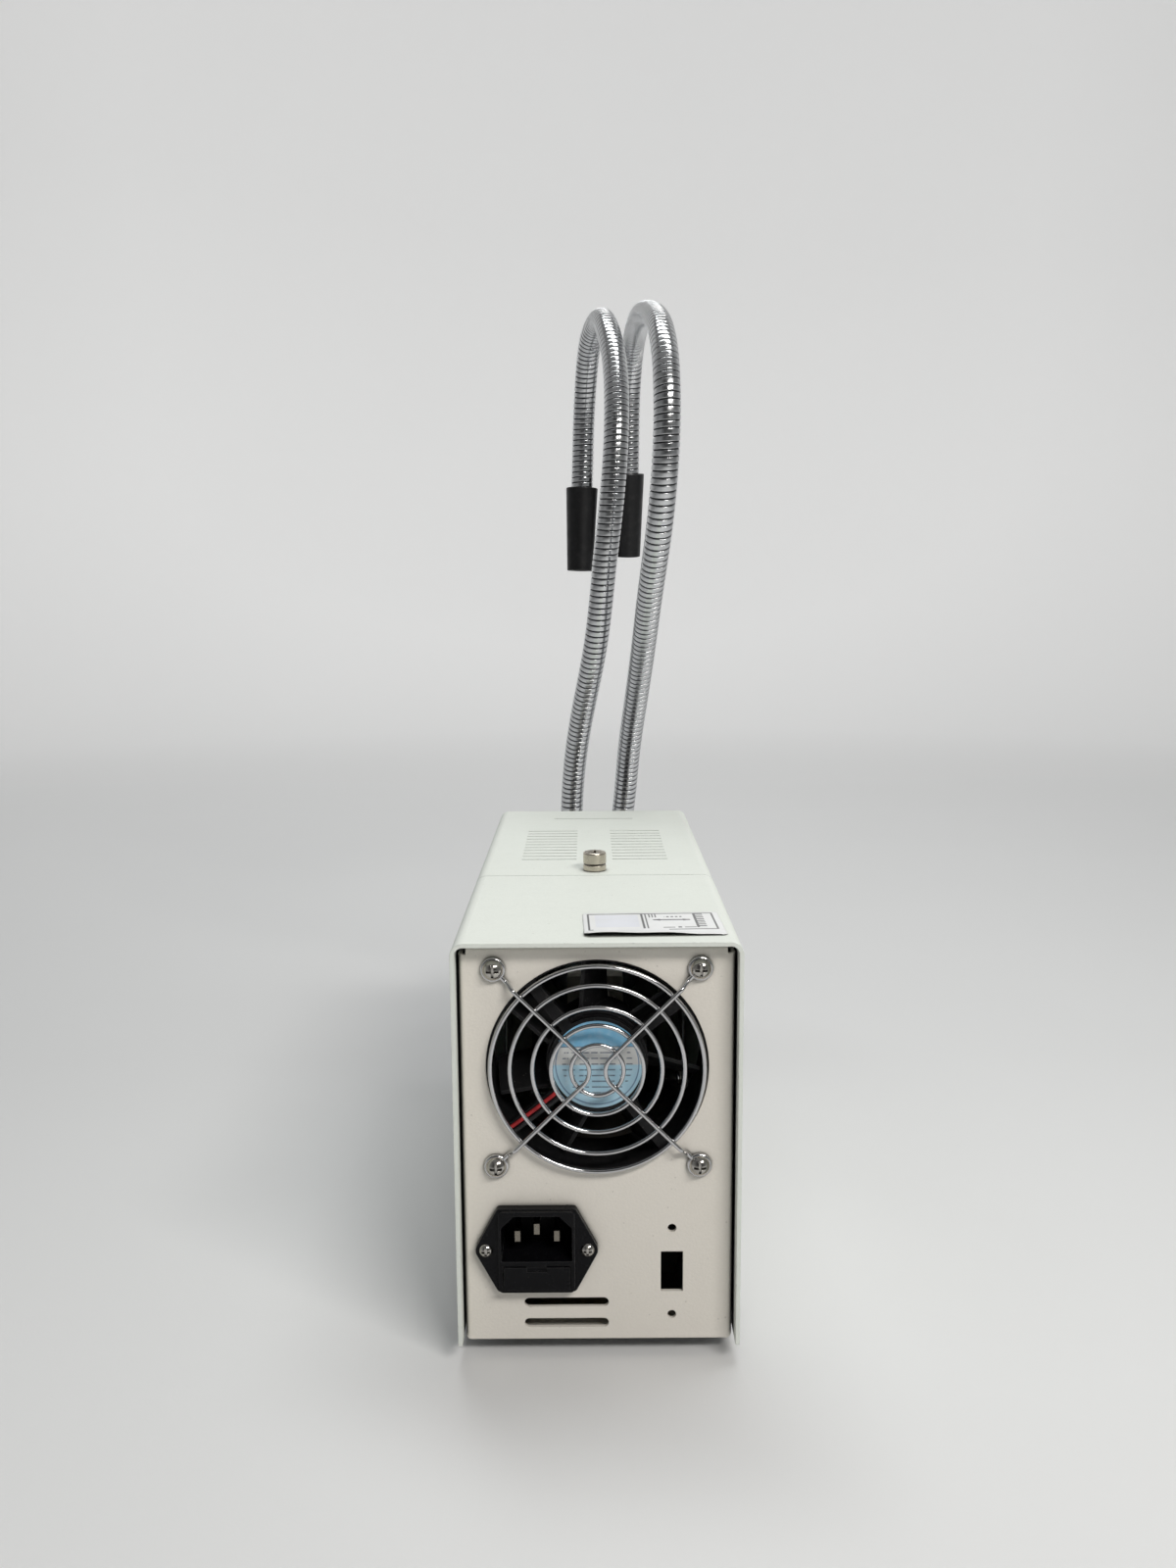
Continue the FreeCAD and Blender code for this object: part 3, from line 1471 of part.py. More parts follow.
class Arm:
    """Route of one gooseneck arm, measured along its middle from the block's front."""

    def __init__(self, side, shares, sway, depth, lean, apex_share):
        start = V(side * hose_x, block_front, port_z)
        points = []
        for across, along, up in shares:
            points.append(start + V(across * sway, along * depth, up * arm_height))
        tip = points[-1] + V(*lean).normalize() * tip_length
        self.curve = Part.BSplineCurve()
        self.curve.interpolate(Points=[start - AXIS_Y * hose_in_block] + points + [tip])
        self.first = self.curve.parameter(start)
        self.last = self.curve.parameter(points[-1])
        self.length = self.curve.length(self.first, self.last)
        self.start = start
        self.end = points[-1]
        self.lean = self.curve.tangent(self.last)[0]
        self.base = arm_base_bend_at
        self.apex = apex_share * self.length

    def at(self, s):
        """Point and direction at a distance along the route, straight past both ends."""
        if s <= 0:
            return self.start + AXIS_Y * s, AXIS_Y
        if s >= self.length:
            return self.end + self.lean * (s - self.length), self.lean
        u = self.curve.parameterAtDistance(s, self.first)
        return self.curve.value(u), self.curve.tangent(u)[0]

    def ring(self, s, radius):
        """Circle across the route, its X axis held steady along the arm."""
        point, along = self.at(s)
        circle = Part.Circle(point, along, radius)
        steady = AXIS_X - along * AXIS_X.dot(along)
        circle.XAxis = steady.normalize()
        return Part.Wire(circle.toShape())

    def tube(self, start, end, radius, step):
        """Plain round bar along the route."""
        count = max(2, math.ceil((end - start) / step))
        rings = [self.ring(start + (end - start) * index / count, radius) for index in range(count + 1)]
        return Part.makeLoft(rings, True, True)

    def hose(self, start, end):
        """Ribbed metal hose without its bore: four circles to each rib."""
        count = round((end - start) / hose_pitch)
        pitch = (end - start) / count
        radii = (hose_valley_r, hose_peak_r, hose_peak_r, hose_valley_r)
        rings = []
        for index in range(count):
            for share, radius in zip(hose_rib_shares, radii):
                rings.append(self.ring(start + (index + share) * pitch, radius))
        rings.append(self.ring(end, hose_valley_r))
        return Part.makeLoft(rings, True, True)

    def segment(self, start, end, cup_at, ball_at):
        """Hose from start to end, with a cup cut at its foot and a ball on its far end."""
        body = self.hose(start, end)
        bore_end = end + hose_bore_overrun
        if ball_at is not None:
            ball = Part.makeSphere(bend_ball_r, self.at(ball_at)[0])
            body = body.fuse(ball)
            bore_end = ball_at + bend_ball_r + hose_bore_overrun
        if cup_at is not None:
            body = body.cut(Part.makeSphere(bend_ball_r + bend_ball_gap, self.at(cup_at)[0]))
        bore = self.tube(start - hose_bore_overrun, bore_end, hose_bore_r, hose_bore_step)
        return body.cut(bore)

    def root(self):
        """Hose from the block to the lower bend."""
        return self.segment(-hose_in_block, self.base - bend_shoulder, None, self.base)

    def lower(self):
        """Hose from the lower bend up to the top of the arch."""
        return self.segment(self.base + bend_shoulder, self.apex - bend_shoulder, self.base, self.apex)

    def upper(self):
        """Hose from the top of the arch down into the tip."""
        return self.segment(self.apex + bend_shoulder, self.length + tip_socket_depth, self.apex, None)

    def tip(self):
        """Tapered black end sleeve."""
        point, along = self.at(self.length)
        before = point - along * over
        face = point + along * (tip_length - tip_lens_recess)
        sleeve = Part.makeCone(tip_top_r, tip_bottom_r, tip_length, point, along)
        sleeve = sleeve.makeFillet(tip_edge, rims(sleeve))
        socket = Part.makeCylinder(hose_peak_r + hose_socket_gap, tip_socket_depth + over, before, along)
        bore = Part.makeCylinder(fibre_r + fibre_clear, tip_length + over, before, along)
        mouth = Part.makeCylinder(fibre_r + 2 * fibre_clear, tip_lens_recess + over, face, along)
        return sleeve.cut([socket, bore, mouth])

    def lower_fibre(self):
        """Fibre bundle in the lower part of the arm."""
        clear = bend_ball_r + fibre_clear
        return self.tube(self.base + clear, self.apex + clear / 2, fibre_r, hose_bore_step)

    def upper_fibre(self):
        """Fibre bundle from the top of the arch to the polished face in the tip."""
        clear = bend_ball_r + fibre_clear
        end = self.length + tip_length - tip_lens_recess
        return self.tube(self.apex + clear, end, fibre_r, hose_bore_step)

    def root_fibre(self):
        """Fibre bundle from the block's split to the lower bend."""
        return self.tube(-fibre_split_back, self.base + bend_ball_r / 2, fibre_r, hose_bore_step)


def left_arm():
    """The left arm, seen from behind."""
    size = (left_arm_sway, left_arm_depth)
    return Arm(-1, LEFT_ROUTE_SHARES, *size, LEFT_TIP_LEAN_SHARES, left_apex_share)


def right_arm():
    """The right arm, seen from behind."""
    size = (right_arm_sway, right_arm_depth)
    return Arm(1, RIGHT_ROUTE_SHARES, *size, RIGHT_TIP_LEAN_SHARES, right_apex_share)


def make_fibre_trunk(arms):
    """Common bundle in the ferrule, its spread in the block and the two root bundles."""
    start = collar_y - ferrule_length + fibre_front_inset
    spread = Part.makeLoft(
        [
            stadium(start, fibre_trunk_half, fibre_trunk_r),
            stadium(split_start(), fibre_trunk_half, fibre_trunk_r),
            stadium(split_start() + fibre_split_length, hose_x, fibre_r),
        ],
        True,
        True,
    )
    return group([spread] + [arm.root_fibre() for arm in arms])


def make_potentiometer():
    """Potentiometer body behind the front panel with its threaded bush."""
    bush_end = front_back + pot_bush_length
    body = rod_y(-knob_x, controls_z, pot_body_r, front_back - pot_body_length, front_back)
    bush = rod_y(-knob_x, controls_z, pot_bush_r, front_back, bush_end)
    bore_r = pot_shaft_r + thread_clearance
    bore = rod_y(-knob_x, controls_z, bore_r, front_back - pot_body_length / 2, bush_end + over)
    return join([body, bush]).cut(bore)


def make_potentiometer_nut():
    """Hexagon nut that holds the potentiometer on the panel."""
    nut = hexagon_y(-knob_x, controls_z, pot_nut_r, front_y, front_y + pot_nut)
    bore_r = pot_bush_r + thread_clearance
    return nut.cut(rod_y(-knob_x, controls_z, bore_r, front_y - over, front_y + pot_nut + over))


def knob_back():
    """Rear face of the knob, clear of the bush."""
    return front_back + pot_bush_length + knob_gap


def make_intensity_knob():
    """Fluted knob with a skirt and a raised pointer line at its top."""
    x = -knob_x
    back = knob_back()
    front = back + knob_length
    skirt = rod_y(x, controls_z, knob_skirt_r, back, back + knob_skirt)
    grip = rod_y(x, controls_z, knob_r, back, front)
    grip = grip.makeChamfer(knob_edge, rims(grip, lambda edge: edge.CenterOfMass.y > back))
    flutes = []
    for index in range(knob_flutes):
        angle = math.radians(360 * (index + 1 / 2) / knob_flutes)
        flute_x = x + knob_r * math.sin(angle)
        flute_z = controls_z + knob_r * math.cos(angle)
        flutes.append(rod_y(flute_x, flute_z, knob_flute_r, back + knob_skirt, front + over))
    grip = grip.cut(flutes)
    pointer_middle = controls_z + knob_r - knob_edge - knob_pointer_length / 2
    pointer_half = knob_pointer_length / 2
    pointer_back = front - knob_pointer
    pointer_front = front + knob_pointer
    pointer = bar_y(x, pointer_middle, knob_pointer, pointer_half, pointer_back, pointer_front)
    knob = join([skirt, grip, pointer])
    knob.rotate(V(x, 0, controls_z), AXIS_Y, knob_rest_turn)
    return knob.cut(rod_y(x, controls_z, pot_shaft_r, back - over, back + pot_shaft_in_knob))


def make_knob_shaft():
    """Potentiometer shaft, pressed in the knob."""
    start = front_back - pot_body_length / 2 + fan_running_gap
    return rod_y(-knob_x, controls_z, pot_shaft_r, start, knob_back() + pot_shaft_in_knob)


def rocker_pivot():
    """Pivot of the power rocker."""
    return V(knob_x, front_y + switch_bezel - rocker_depth / 2 - rocker_pivot_inset, controls_z)


def make_switch_body():
    """Switch housing: bezel outside, body behind, a well for the rocker."""
    face = front_y + switch_bezel
    half_w = switch_width / 2
    bezel = bar_y(knob_x, controls_z, half_w, switch_height / 2, front_y, face)
    bezel = round_edges(bezel, switch_corner, AXIS_Y)
    half_w = switch_body_width / 2
    back = front_back - switch_body_depth
    body = bar_y(knob_x, controls_z, half_w, switch_body_height / 2, back, front_y)
    half_w = rocker_width / 2 + rocker_gap
    half_h = rocker_height / 2 + rocker_gap + rocker_dish / 2
    pivot = rocker_pivot()
    well = bar_y(knob_x, controls_z, half_w, half_h, pivot.y - rocker_depth, face + over)
    pin = rocker_width / 2 + rocker_pin_depth
    hole = rod_x(pivot.y, pivot.z, rocker_pin_r + rocker_pin_gap, knob_x - pin, knob_x + pin)
    return join([bezel, body]).cut([well, hole])


def make_power_rocker():
    """Rocker with a shallow V face, resting on its OFF side."""
    pivot = rocker_pivot()
    half = rocker_height / 2
    face = pivot.y + rocker_depth / 2 + rocker_dish
    back = pivot.y - rocker_depth / 2
    corners = [
        V(0, back, pivot.z - half * rocker_back_share),
        V(0, pivot.y, pivot.z - half),
        V(0, face, pivot.z - half),
        V(0, face - rocker_dish, pivot.z),
        V(0, face, pivot.z + half),
        V(0, pivot.y, pivot.z + half),
        V(0, back, pivot.z + half * rocker_back_share),
    ]
    corners.append(corners[0])
    half_w = rocker_width / 2
    rocker = Part.Face(Part.makePolygon(corners)).extrude(AXIS_X * rocker_width)
    rocker.translate(V(knob_x - half_w, 0, 0))
    reach = half_w + rocker_pin_depth - rocker_pin_gap
    pin = rod_x(pivot.y, pivot.z, rocker_pin_r, knob_x - reach, knob_x + reach)
    rocker = join([rocker, pin])
    rocker.rotate(pivot, AXIS_X, rocker_tilt)
    return rocker


def make_transformer():
    """Transformer: laminated core with feet, and its winding bulging front and back."""
    half_w = core_width / 2
    half_h = core_height / 2
    middle = pan_top + half_h
    end = core_rear + core_length
    core = bar_y(core_x, middle, half_w, half_h, core_rear, end)
    coil_half_w = half_w - core_window
    coil_half_h = half_h - core_window
    coil = bar_y(core_x, middle, coil_half_w, coil_half_h, core_rear - coil_bulge, end + coil_bulge)
    coil = round_edges(coil, coil_corner, AXIS_X)
    reach = half_w + core_foot_reach
    foot_rear = core_rear + (core_length - core_foot_length) / 2
    foot_end = foot_rear + core_foot_length
    feet = block(core_x - reach, core_x + reach, foot_rear, foot_end, pan_top, pan_top + core_foot)
    return join([core, coil, feet])


def make_control_board():
    """Circuit board of the lamp dimmer."""
    half = board_width / 2
    board = block(-half, half, board_rear, board_rear + board_length, board_under, board_top)
    hole_r = standoff_r / 2 + screw_hole_gap
    for x, y in standoff_places():
        board = board.cut(rod_z(x, y, hole_r, board_under - over, board_top + over))
    return board


def standoff_places():
    """Centres of the board's four standoffs, as x and y."""
    spots = []
    for side in (-1, 1):
        for y in (board_rear + standoff_inset, board_rear + board_length - standoff_inset):
            spots.append((side * (board_width / 2 - standoff_inset), y))
    return spots


def make_board_standoffs():
    """Turned standoffs with a stud through the board."""
    posts = []
    for x, y in standoff_places():
        post = rod_z(x, y, standoff_r, pan_top, board_under)
        stud = rod_z(x, y, standoff_r / 2, board_under, board_top + board_thick)
        posts.append(join([post, stud]))
    return group(posts)


def make_board_parts():
    """Capacitors, a finned heat sink and the lamp's terminal block, all on the board."""
    parts = []
    cap_y = board_rear + capacitor_inset
    for index in range(2):
        x = capacitor_from_middle - index * (2 * capacitor_r + capacitor_gap)
        can = rod_z(x, cap_y, capacitor_r, board_top, board_top + capacitor_height)
        parts.append(can.makeFillet(capacitor_edge, rims(can)))
    left = sink_inset - board_width / 2
    sink_y = board_rear + board_length / 2
    base = block(left, left + sink_fin, sink_y, sink_y + sink_width, board_top, board_top + sink_height)
    fins = [base]
    for index in range(sink_fins):
        y = sink_y + index * (sink_width - sink_fin) / (sink_fins - 1)
        fins.append(block(left, left + sink_depth, y, y + sink_fin, board_top, board_top + sink_height))
    parts.append(join(fins))
    y, z = terminal_place()
    half = terminal_width / 2
    near = y - terminal_depth / 2
    parts.append(block(-half, half, near, near + terminal_depth, board_top, z))
    return group(parts)


def make_parts():
    """Every piece under its node name, with Y still measured from the rear panel."""
    left = left_arm()
    right = right_arm()
    return {
        "chassis_pan": make_chassis_pan(),
        "rear_panel": make_rear_panel(),
        "front_panel": make_front_panel(),
        "outer_cover": make_outer_cover(),
        "seam_bridge": make_seam_bridge(),
        "cover_screws": make_cover_screws(),
        "rubber_feet": make_rubber_feet(),
        "foot_screws": make_foot_screws(),
        "top_sticker": make_top_sticker(),
        "lamp_cover": make_lamp_cover(),
        "screw_collar": make_screw_collar(),
        "thumb_screw": make_thumb_screw(),
        "fan_frame": make_fan_frame(),
        "fan_coils": make_fan_coils(),
        "fan_label": make_fan_label(),
        "fan_leads": make_fan_leads(),
        "fan_impeller": make_fan_impeller(),
        "fan_shaft": make_fan_shaft(),
        "finger_guard": make_finger_guard(),
        "guard_screws": make_guard_screws(),
        "guard_nuts": make_guard_nuts(),
        "mains_inlet": make_mains_inlet(),
        "inlet_pins": make_inlet_pins(),
        "inlet_screws": make_inlet_screws(),
        "inlet_nuts": make_inlet_nuts(),
        "fuse_drawer": make_fuse_drawer(),
        "fuse": make_fuse(),
        "lamp_reflector": make_lamp_reflector(),
        "lamp_capsule": make_lamp_capsule(),
        "lamp_socket": make_lamp_socket(),
        "lamp_leads": make_lamp_leads(),
        "lamp_bracket": make_lamp_bracket(),
        "heat_filter": make_heat_filter(),
        "light_port": make_light_port(),
        "port_screws": make_port_screws(),
        "port_lock_screw": make_port_lock_screw(),
        "potentiometer": make_potentiometer(),
        "potentiometer_nut": make_potentiometer_nut(),
        "intensity_knob": make_intensity_knob(),
        "knob_shaft": make_knob_shaft(),
        "switch_body": make_switch_body(),
        "power_rocker": make_power_rocker(),
        "transformer": make_transformer(),
        "control_board": make_control_board(),
        "board_standoffs": make_board_standoffs(),
        "board_parts": make_board_parts(),
        "guide_ferrule": make_guide_ferrule(),
        "junction_block": make_junction_block(),
        "fibre_trunk": make_fibre_trunk((left, right)),
        "gooseneck_roots": group([left.root(), right.root()]),
        "gooseneck_left_lower": left.lower(),
        "gooseneck_left_upper": left.upper(),
        "gooseneck_right_lower": right.lower(),
        "gooseneck_right_upper": right.upper(),
        "guide_tip_left": left.tip(),
        "guide_tip_right": right.tip(),
        "fibre_left_lower": left.lower_fibre(),
        "fibre_left_upper": left.upper_fibre(),
        "fibre_right_lower": right.lower_fibre(),
        "fibre_right_upper": right.upper_fibre(),
    }


def footprint_shift(parts):
    """Move along Y that puts the origin in the middle of the whole object."""
    low = min(shape.BoundBox.YMin for shape in parts.values())
    high = max(shape.BoundBox.YMax for shape in parts.values())
    return -(low + high) / 2


def main():
    """Builds every piece and writes one STEP file for each."""
    os.makedirs("parts", exist_ok=True)
    parts = make_parts()
    shift = V(0, footprint_shift(parts), 0)
    for name, shape in parts.items():
        shape.translate(shift)
        shape.exportStep("parts/" + name + ".step")


if __name__ == "__main__":
    main()
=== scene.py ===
"""Fiber optic illuminator: a painted lamp house with a fan behind a wire guard, and two wound steel goosenecks.

The solids come from the packed model. This file dresses them: it winds the hoses, lays the sticker and the fan's
leads, and gives every piece its finish, a studio floor, lamps and a camera.
"""

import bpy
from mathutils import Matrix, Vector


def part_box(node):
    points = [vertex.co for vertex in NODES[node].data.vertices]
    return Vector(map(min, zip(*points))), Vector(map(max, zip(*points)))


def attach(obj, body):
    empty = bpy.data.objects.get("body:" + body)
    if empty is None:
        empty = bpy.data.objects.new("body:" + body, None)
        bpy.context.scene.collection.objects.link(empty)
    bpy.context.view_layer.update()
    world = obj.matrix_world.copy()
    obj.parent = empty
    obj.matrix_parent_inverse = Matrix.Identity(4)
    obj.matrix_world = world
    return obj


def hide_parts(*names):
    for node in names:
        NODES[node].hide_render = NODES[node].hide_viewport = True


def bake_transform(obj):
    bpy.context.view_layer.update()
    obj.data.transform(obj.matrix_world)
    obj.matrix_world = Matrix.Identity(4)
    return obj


bl_info = {
    "name": "Fiber optic illuminator",
    "version": (1, 0, 0),
    "blender": (4, 5, 0),
    "location": "3D View > Sidebar > Illuminator",
    "description": "Dresses the packed model of a two arm fiber optic illuminator",
    "category": "Object",
}

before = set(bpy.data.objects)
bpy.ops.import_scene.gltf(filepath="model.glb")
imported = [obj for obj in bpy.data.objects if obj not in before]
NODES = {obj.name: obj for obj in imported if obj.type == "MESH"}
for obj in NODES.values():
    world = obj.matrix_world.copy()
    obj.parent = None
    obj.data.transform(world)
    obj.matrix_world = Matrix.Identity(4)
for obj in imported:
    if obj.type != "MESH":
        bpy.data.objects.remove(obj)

import math

import bpy
import bmesh
import numpy as np
from mathutils import Matrix, Vector

MM = 0.001
FINISHES = {}
REAR_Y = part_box("rear_panel")[0].y
CASE_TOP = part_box("outer_cover")[1].z
FAN_MIDDLE = (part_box("fan_label")[0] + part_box("fan_label")[1]) / 2
BOARD_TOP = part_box("board_parts")[0].z

# Route of each arm from the block's front: shares of its sway, its depth and the arm's height.
# FOOT_BEND gives two distances low down the route, and the arm's two stretches meet at STRETCHES_MEET.
ARM_HEIGHT = 340 * MM
HOSE_SPACING = 26 * MM
HOSE_HEIGHT = 88 * MM
TIP_LENGTH = 50.4 * MM
IN_BLOCK = 12 * MM
IN_TIP = 8.6 * MM
STRETCHES_MEET = 200 * MM
FOOT_BEND = (34 * MM, 70 * MM)
LEFT_ROUTE = {
    "side": -1,
    "sway": 27 * MM,
    "depth": 80 * MM,
    "lean": (0.0, -0.03, -1.0),
    "shares": (
        (0.0, 0.0, 0.0),
        (0.0, 0.32, 0.031),
        (0.0, 0.45, 0.1),
        (0.015, 0.452, 0.159),
        (0.126, 0.3, 0.263),
        (0.341, 0.05, 0.364),
        (0.563, -0.17, 0.458),
        (0.752, -0.33, 0.589),
        (0.926, -0.38, 0.716),
        (0.996, -0.27, 0.845),
        (0.952, -0.08, 0.914),
        (0.844, 0.13, 0.963),
        (0.704, 0.4, 0.99),
        (0.511, 0.68, 0.972),
        (0.411, 0.87, 0.925),
        (0.348, 0.965, 0.858),
        (0.307, 0.99, 0.768),
        (0.289, 0.988, 0.726),
    ),
}
RIGHT_ROUTE = {
    "side": 1,
    "sway": 24 * MM,
    "depth": 90 * MM,
    "lean": (0.0, 0.15, -1.0),
    "shares": (
        (0.0, 0.0, 0.0),
        (0.021, 0.283, 0.031),
        (0.125, 0.4, 0.1),
        (0.233, 0.4, 0.159),
        (0.354, 0.24, 0.264),
        (0.5, -0.04, 0.365),
        (0.629, -0.35, 0.459),
        (0.733, -0.64, 0.545),
        (0.854, -0.86, 0.625),
        (0.954, -0.98, 0.712),
        (0.992, -1.0, 0.791),
        (0.979, -0.93, 0.862),
        (0.925, -0.73, 0.918),
        (0.825, -0.44, 0.954),
        (0.692, -0.13, 0.974),
        (0.608, 0.24, 0.981),
        (0.533, 0.56, 0.965),
        (0.483, 0.76, 0.925),
        (0.454, 0.82, 0.877),
        (0.438, 0.848, 0.806),
        (0.429, 0.872, 0.751),
    ),
}
# One rib of the wound strip: share of the pitch, and how deep it lies from the crown (0) to the groove (1).
RIB = (
    (0.0, 1.0), (0.05, 0.96), (0.08, 0.35), (0.11, 0.1), (0.15, 0.02), (0.22, 0.0),
    (0.7, 0.02), (0.8, 0.05), (0.84, 0.13), (0.87, 0.4), (0.9, 0.97),
)


# Sizes and colours that a user would change

class IlluminatorHose(bpy.types.PropertyGroup):
    """Sizes and colour of the wound gooseneck hoses."""
    pitch: bpy.props.FloatProperty(
        name="Pitch", description="Distance from one turn of the strip to the next", default=3.2 * MM, unit="LENGTH")
    crown_radius: bpy.props.FloatProperty(
        name="Crown radius", description="Radius over the strip", default=6.7 * MM, unit="LENGTH")
    groove_radius: bpy.props.FloatProperty(
        name="Groove radius", description="Radius at the bottom of the groove", default=6.05 * MM, unit="LENGTH")
    sides: bpy.props.IntProperty(
        name="Sides", description="Points around the hose", default=36, min=12)
    steel: bpy.props.FloatVectorProperty(
        name="Steel", description="Colour of the bright strip", default=(0.64, 0.65, 0.665), subtype="COLOR")
    # The groove colour is painted shade laid into each groove.
    groove: bpy.props.FloatVectorProperty(
        name="Groove", description="Colour of the dark groove", default=(0.012, 0.012, 0.014), subtype="COLOR")


class IlluminatorPaint(bpy.types.PropertyGroup):
    """Colours of the painted sheet metal."""
    cover: bpy.props.FloatVectorProperty(
        name="Covers", description="Paint of the two covers", default=(0.79, 0.825, 0.775), subtype="COLOR")
    # Warmer than the covers: painted shade, the warm tone the rear panel has lying in shade.
    panel: bpy.props.FloatVectorProperty(
        name="Panels", description="Paint of the end panels", default=(0.8, 0.765, 0.7), subtype="COLOR")
    peel: bpy.props.FloatProperty(
        name="Orange peel", description="Height of the powder paint's grain", default=0.035 * MM, unit="LENGTH")


class IlluminatorFan(bpy.types.PropertyGroup):
    """Colours of the fan's label and leads."""
    label_top: bpy.props.FloatVectorProperty(
        name="Label top", description="Upper band of the label", default=(0.2, 0.5, 0.74), subtype="COLOR")
    label_middle: bpy.props.FloatVectorProperty(
        name="Label middle", description="Middle band of the label", default=(0.62, 0.63, 0.62), subtype="COLOR")
    label_low: bpy.props.FloatVectorProperty(
        name="Label low", description="Lower part of the label", default=(0.42, 0.66, 0.8), subtype="COLOR")
    lead_radius: bpy.props.FloatProperty(
        name="Lead radius", description="Radius of each lead", default=0.7 * MM, unit="LENGTH")
    red: bpy.props.FloatVectorProperty(
        name="Red lead", description="Sleeve of the first lead", default=(0.55, 0.03, 0.035), subtype="COLOR")
    black: bpy.props.FloatVectorProperty(
        name="Black lead", description="Sleeve of the second lead", default=(0.02, 0.02, 0.021), subtype="COLOR")


class IlluminatorSticker(bpy.types.PropertyGroup):
    """Sizes of the sticker on the rear cover."""
    width: bpy.props.FloatProperty(
        name="Width", description="Size across the case", default=49.6 * MM, unit="LENGTH")
    length: bpy.props.FloatProperty(
        name="Length", description="Size along the case", default=32.0 * MM, unit="LENGTH")
    turn: bpy.props.FloatProperty(
        name="Turn", description="How askew it was put on", default=math.radians(1.5), subtype="ANGLE")
    lift: bpy.props.FloatProperty(
        name="Lift", description="How far its near edge has come loose", default=1.5 * MM, unit="LENGTH")


class IlluminatorStage(bpy.types.PropertyGroup):
    """Floor and lamps."""
    floor: bpy.props.FloatVectorProperty(
        name="Floor", description="Colour of the floor and backdrop", default=(0.74, 0.745, 0.75), subtype="COLOR")
    ceiling: bpy.props.FloatProperty(
        name="Ceiling lamp", description="Power of the lamp overhead", default=8.5, unit="POWER")
    fill: bpy.props.FloatProperty(
        name="Fill lamp", description="Power of the lamp behind the camera", default=11.0, unit="POWER")
    backdrop: bpy.props.FloatProperty(
        name="Backdrop", description="How far the backdrop is raised towards white", default=0.46)
    sky: bpy.props.FloatProperty(
        name="Room light", description="Strength of the light from all around", default=0.22)


# Surfaces

def outward(piece):
    """Merges the seams of a new closed surface and turns its faces outwards."""
    mesh = bmesh.new()
    mesh.from_mesh(piece.data)
    bmesh.ops.remove_doubles(mesh, verts=mesh.verts, dist=0.001 * MM)
    bmesh.ops.recalc_face_normals(mesh, faces=mesh.faces)
    mesh.to_mesh(piece.data)
    mesh.free()


def surface(name, points, faces, finish):
    """Mesh object from an (n, 3) array of points and rows of corner numbers."""
    data = bpy.data.meshes.new(name)
    data.from_pydata(points.tolist(), [], faces)
    data.materials.append(FINISHES[finish])
    data.polygons.foreach_set("use_smooth", np.full(len(data.polygons), True))
    piece = bpy.data.objects.new(name, data)
    bpy.context.scene.collection.objects.link(piece)
    return piece


def grid_faces(rows, columns):
    """Quads of a grid whose point (i, j) has the number i * columns + j."""
    corner = np.arange((rows - 1) * columns).reshape(rows - 1, columns)[:, :-1].ravel()
    return np.stack([corner, corner + 1, corner + columns + 1, corner + columns], axis=1).tolist()


def across(along):
    """Two unit vectors across each direction: X made square to it, and the cross product of both."""
    side = np.array([1.0, 0.0, 0.0]) - along * along[:, :1]
    side /= np.linalg.norm(side, axis=1, keepdims=True)
    return side, np.cross(along, side)


def cubic_slope(knots, points):
    """Slope at the first of four points, of the cubic through them (Lagrange's formula, differentiated)."""
    slope = np.zeros(3)
    for i in range(4):
        rest = [j for j in range(4) if j != i]
        bottom = np.prod([knots[i] - knots[j] for j in rest])
        top = 0.0
        for k in rest:
            top += np.prod([knots[0] - knots[j] for j in rest if j != k])
        slope += points[i] * top / bottom
    return slope


class Route:
    """A smooth route through points, measured in metres from its second point.

    Each coordinate is a cubic spline of the summed chord lengths: the slopes at the knots make the second derivative
    continuous, and the end slopes are those of the cubic through the four nearest points.
    """

    def __init__(self, points, fine=6000):
        points = np.array(points)
        knots = np.concatenate([[0.0], np.cumsum(np.linalg.norm(np.diff(points, axis=0), axis=1))])
        count = len(points)
        step = np.diff(knots)
        chord = np.diff(points, axis=0) / step[:, None]
        system = np.eye(count)
        right = np.zeros((count, 3))
        right[0] = cubic_slope(knots[:4], points[:4])
        right[-1] = cubic_slope(knots[::-1][:4], points[::-1][:4])
        for i in range(1, count - 1):
            system[i, i - 1:i + 2] = step[i], 2 * (step[i - 1] + step[i]), step[i - 1]
            right[i] = 3 * (step[i] * chord[i - 1] + step[i - 1] * chord[i])
        slopes = np.linalg.solve(system, right)
        at = np.linspace(0.0, knots[-1], fine)
        k = np.clip(np.searchsorted(knots, at, side="right") - 1, 0, count - 2)
        t = ((at - knots[k]) / step[k])[:, None]
        h = step[k][:, None]
        self.line = (
            points[k] * (1 + 2 * t) * (1 - t) ** 2
            + slopes[k] * h * t * (1 - t) ** 2
            + points[k + 1] * t * t * (3 - 2 * t)
            + slopes[k + 1] * h * t * t * (t - 1)
        )
        run = np.concatenate([[0.0], np.cumsum(np.linalg.norm(np.diff(self.line, axis=0), axis=1))])
        self.run = run - np.interp(knots[1], at, run)
        self.length = np.interp(knots[-2], at, self.run)
        self.slope = np.gradient(self.line, self.run, axis=0)

    def at(self, distance):
        """Points and unit directions at an array of distances."""
        point = np.stack([np.interp(distance, self.run, self.line[:, axis]) for axis in range(3)], axis=1)
        along = np.stack([np.interp(distance, self.run, self.slope[:, axis]) for axis in range(3)], axis=1)
        return point, along / np.linalg.norm(along, axis=1, keepdims=True)


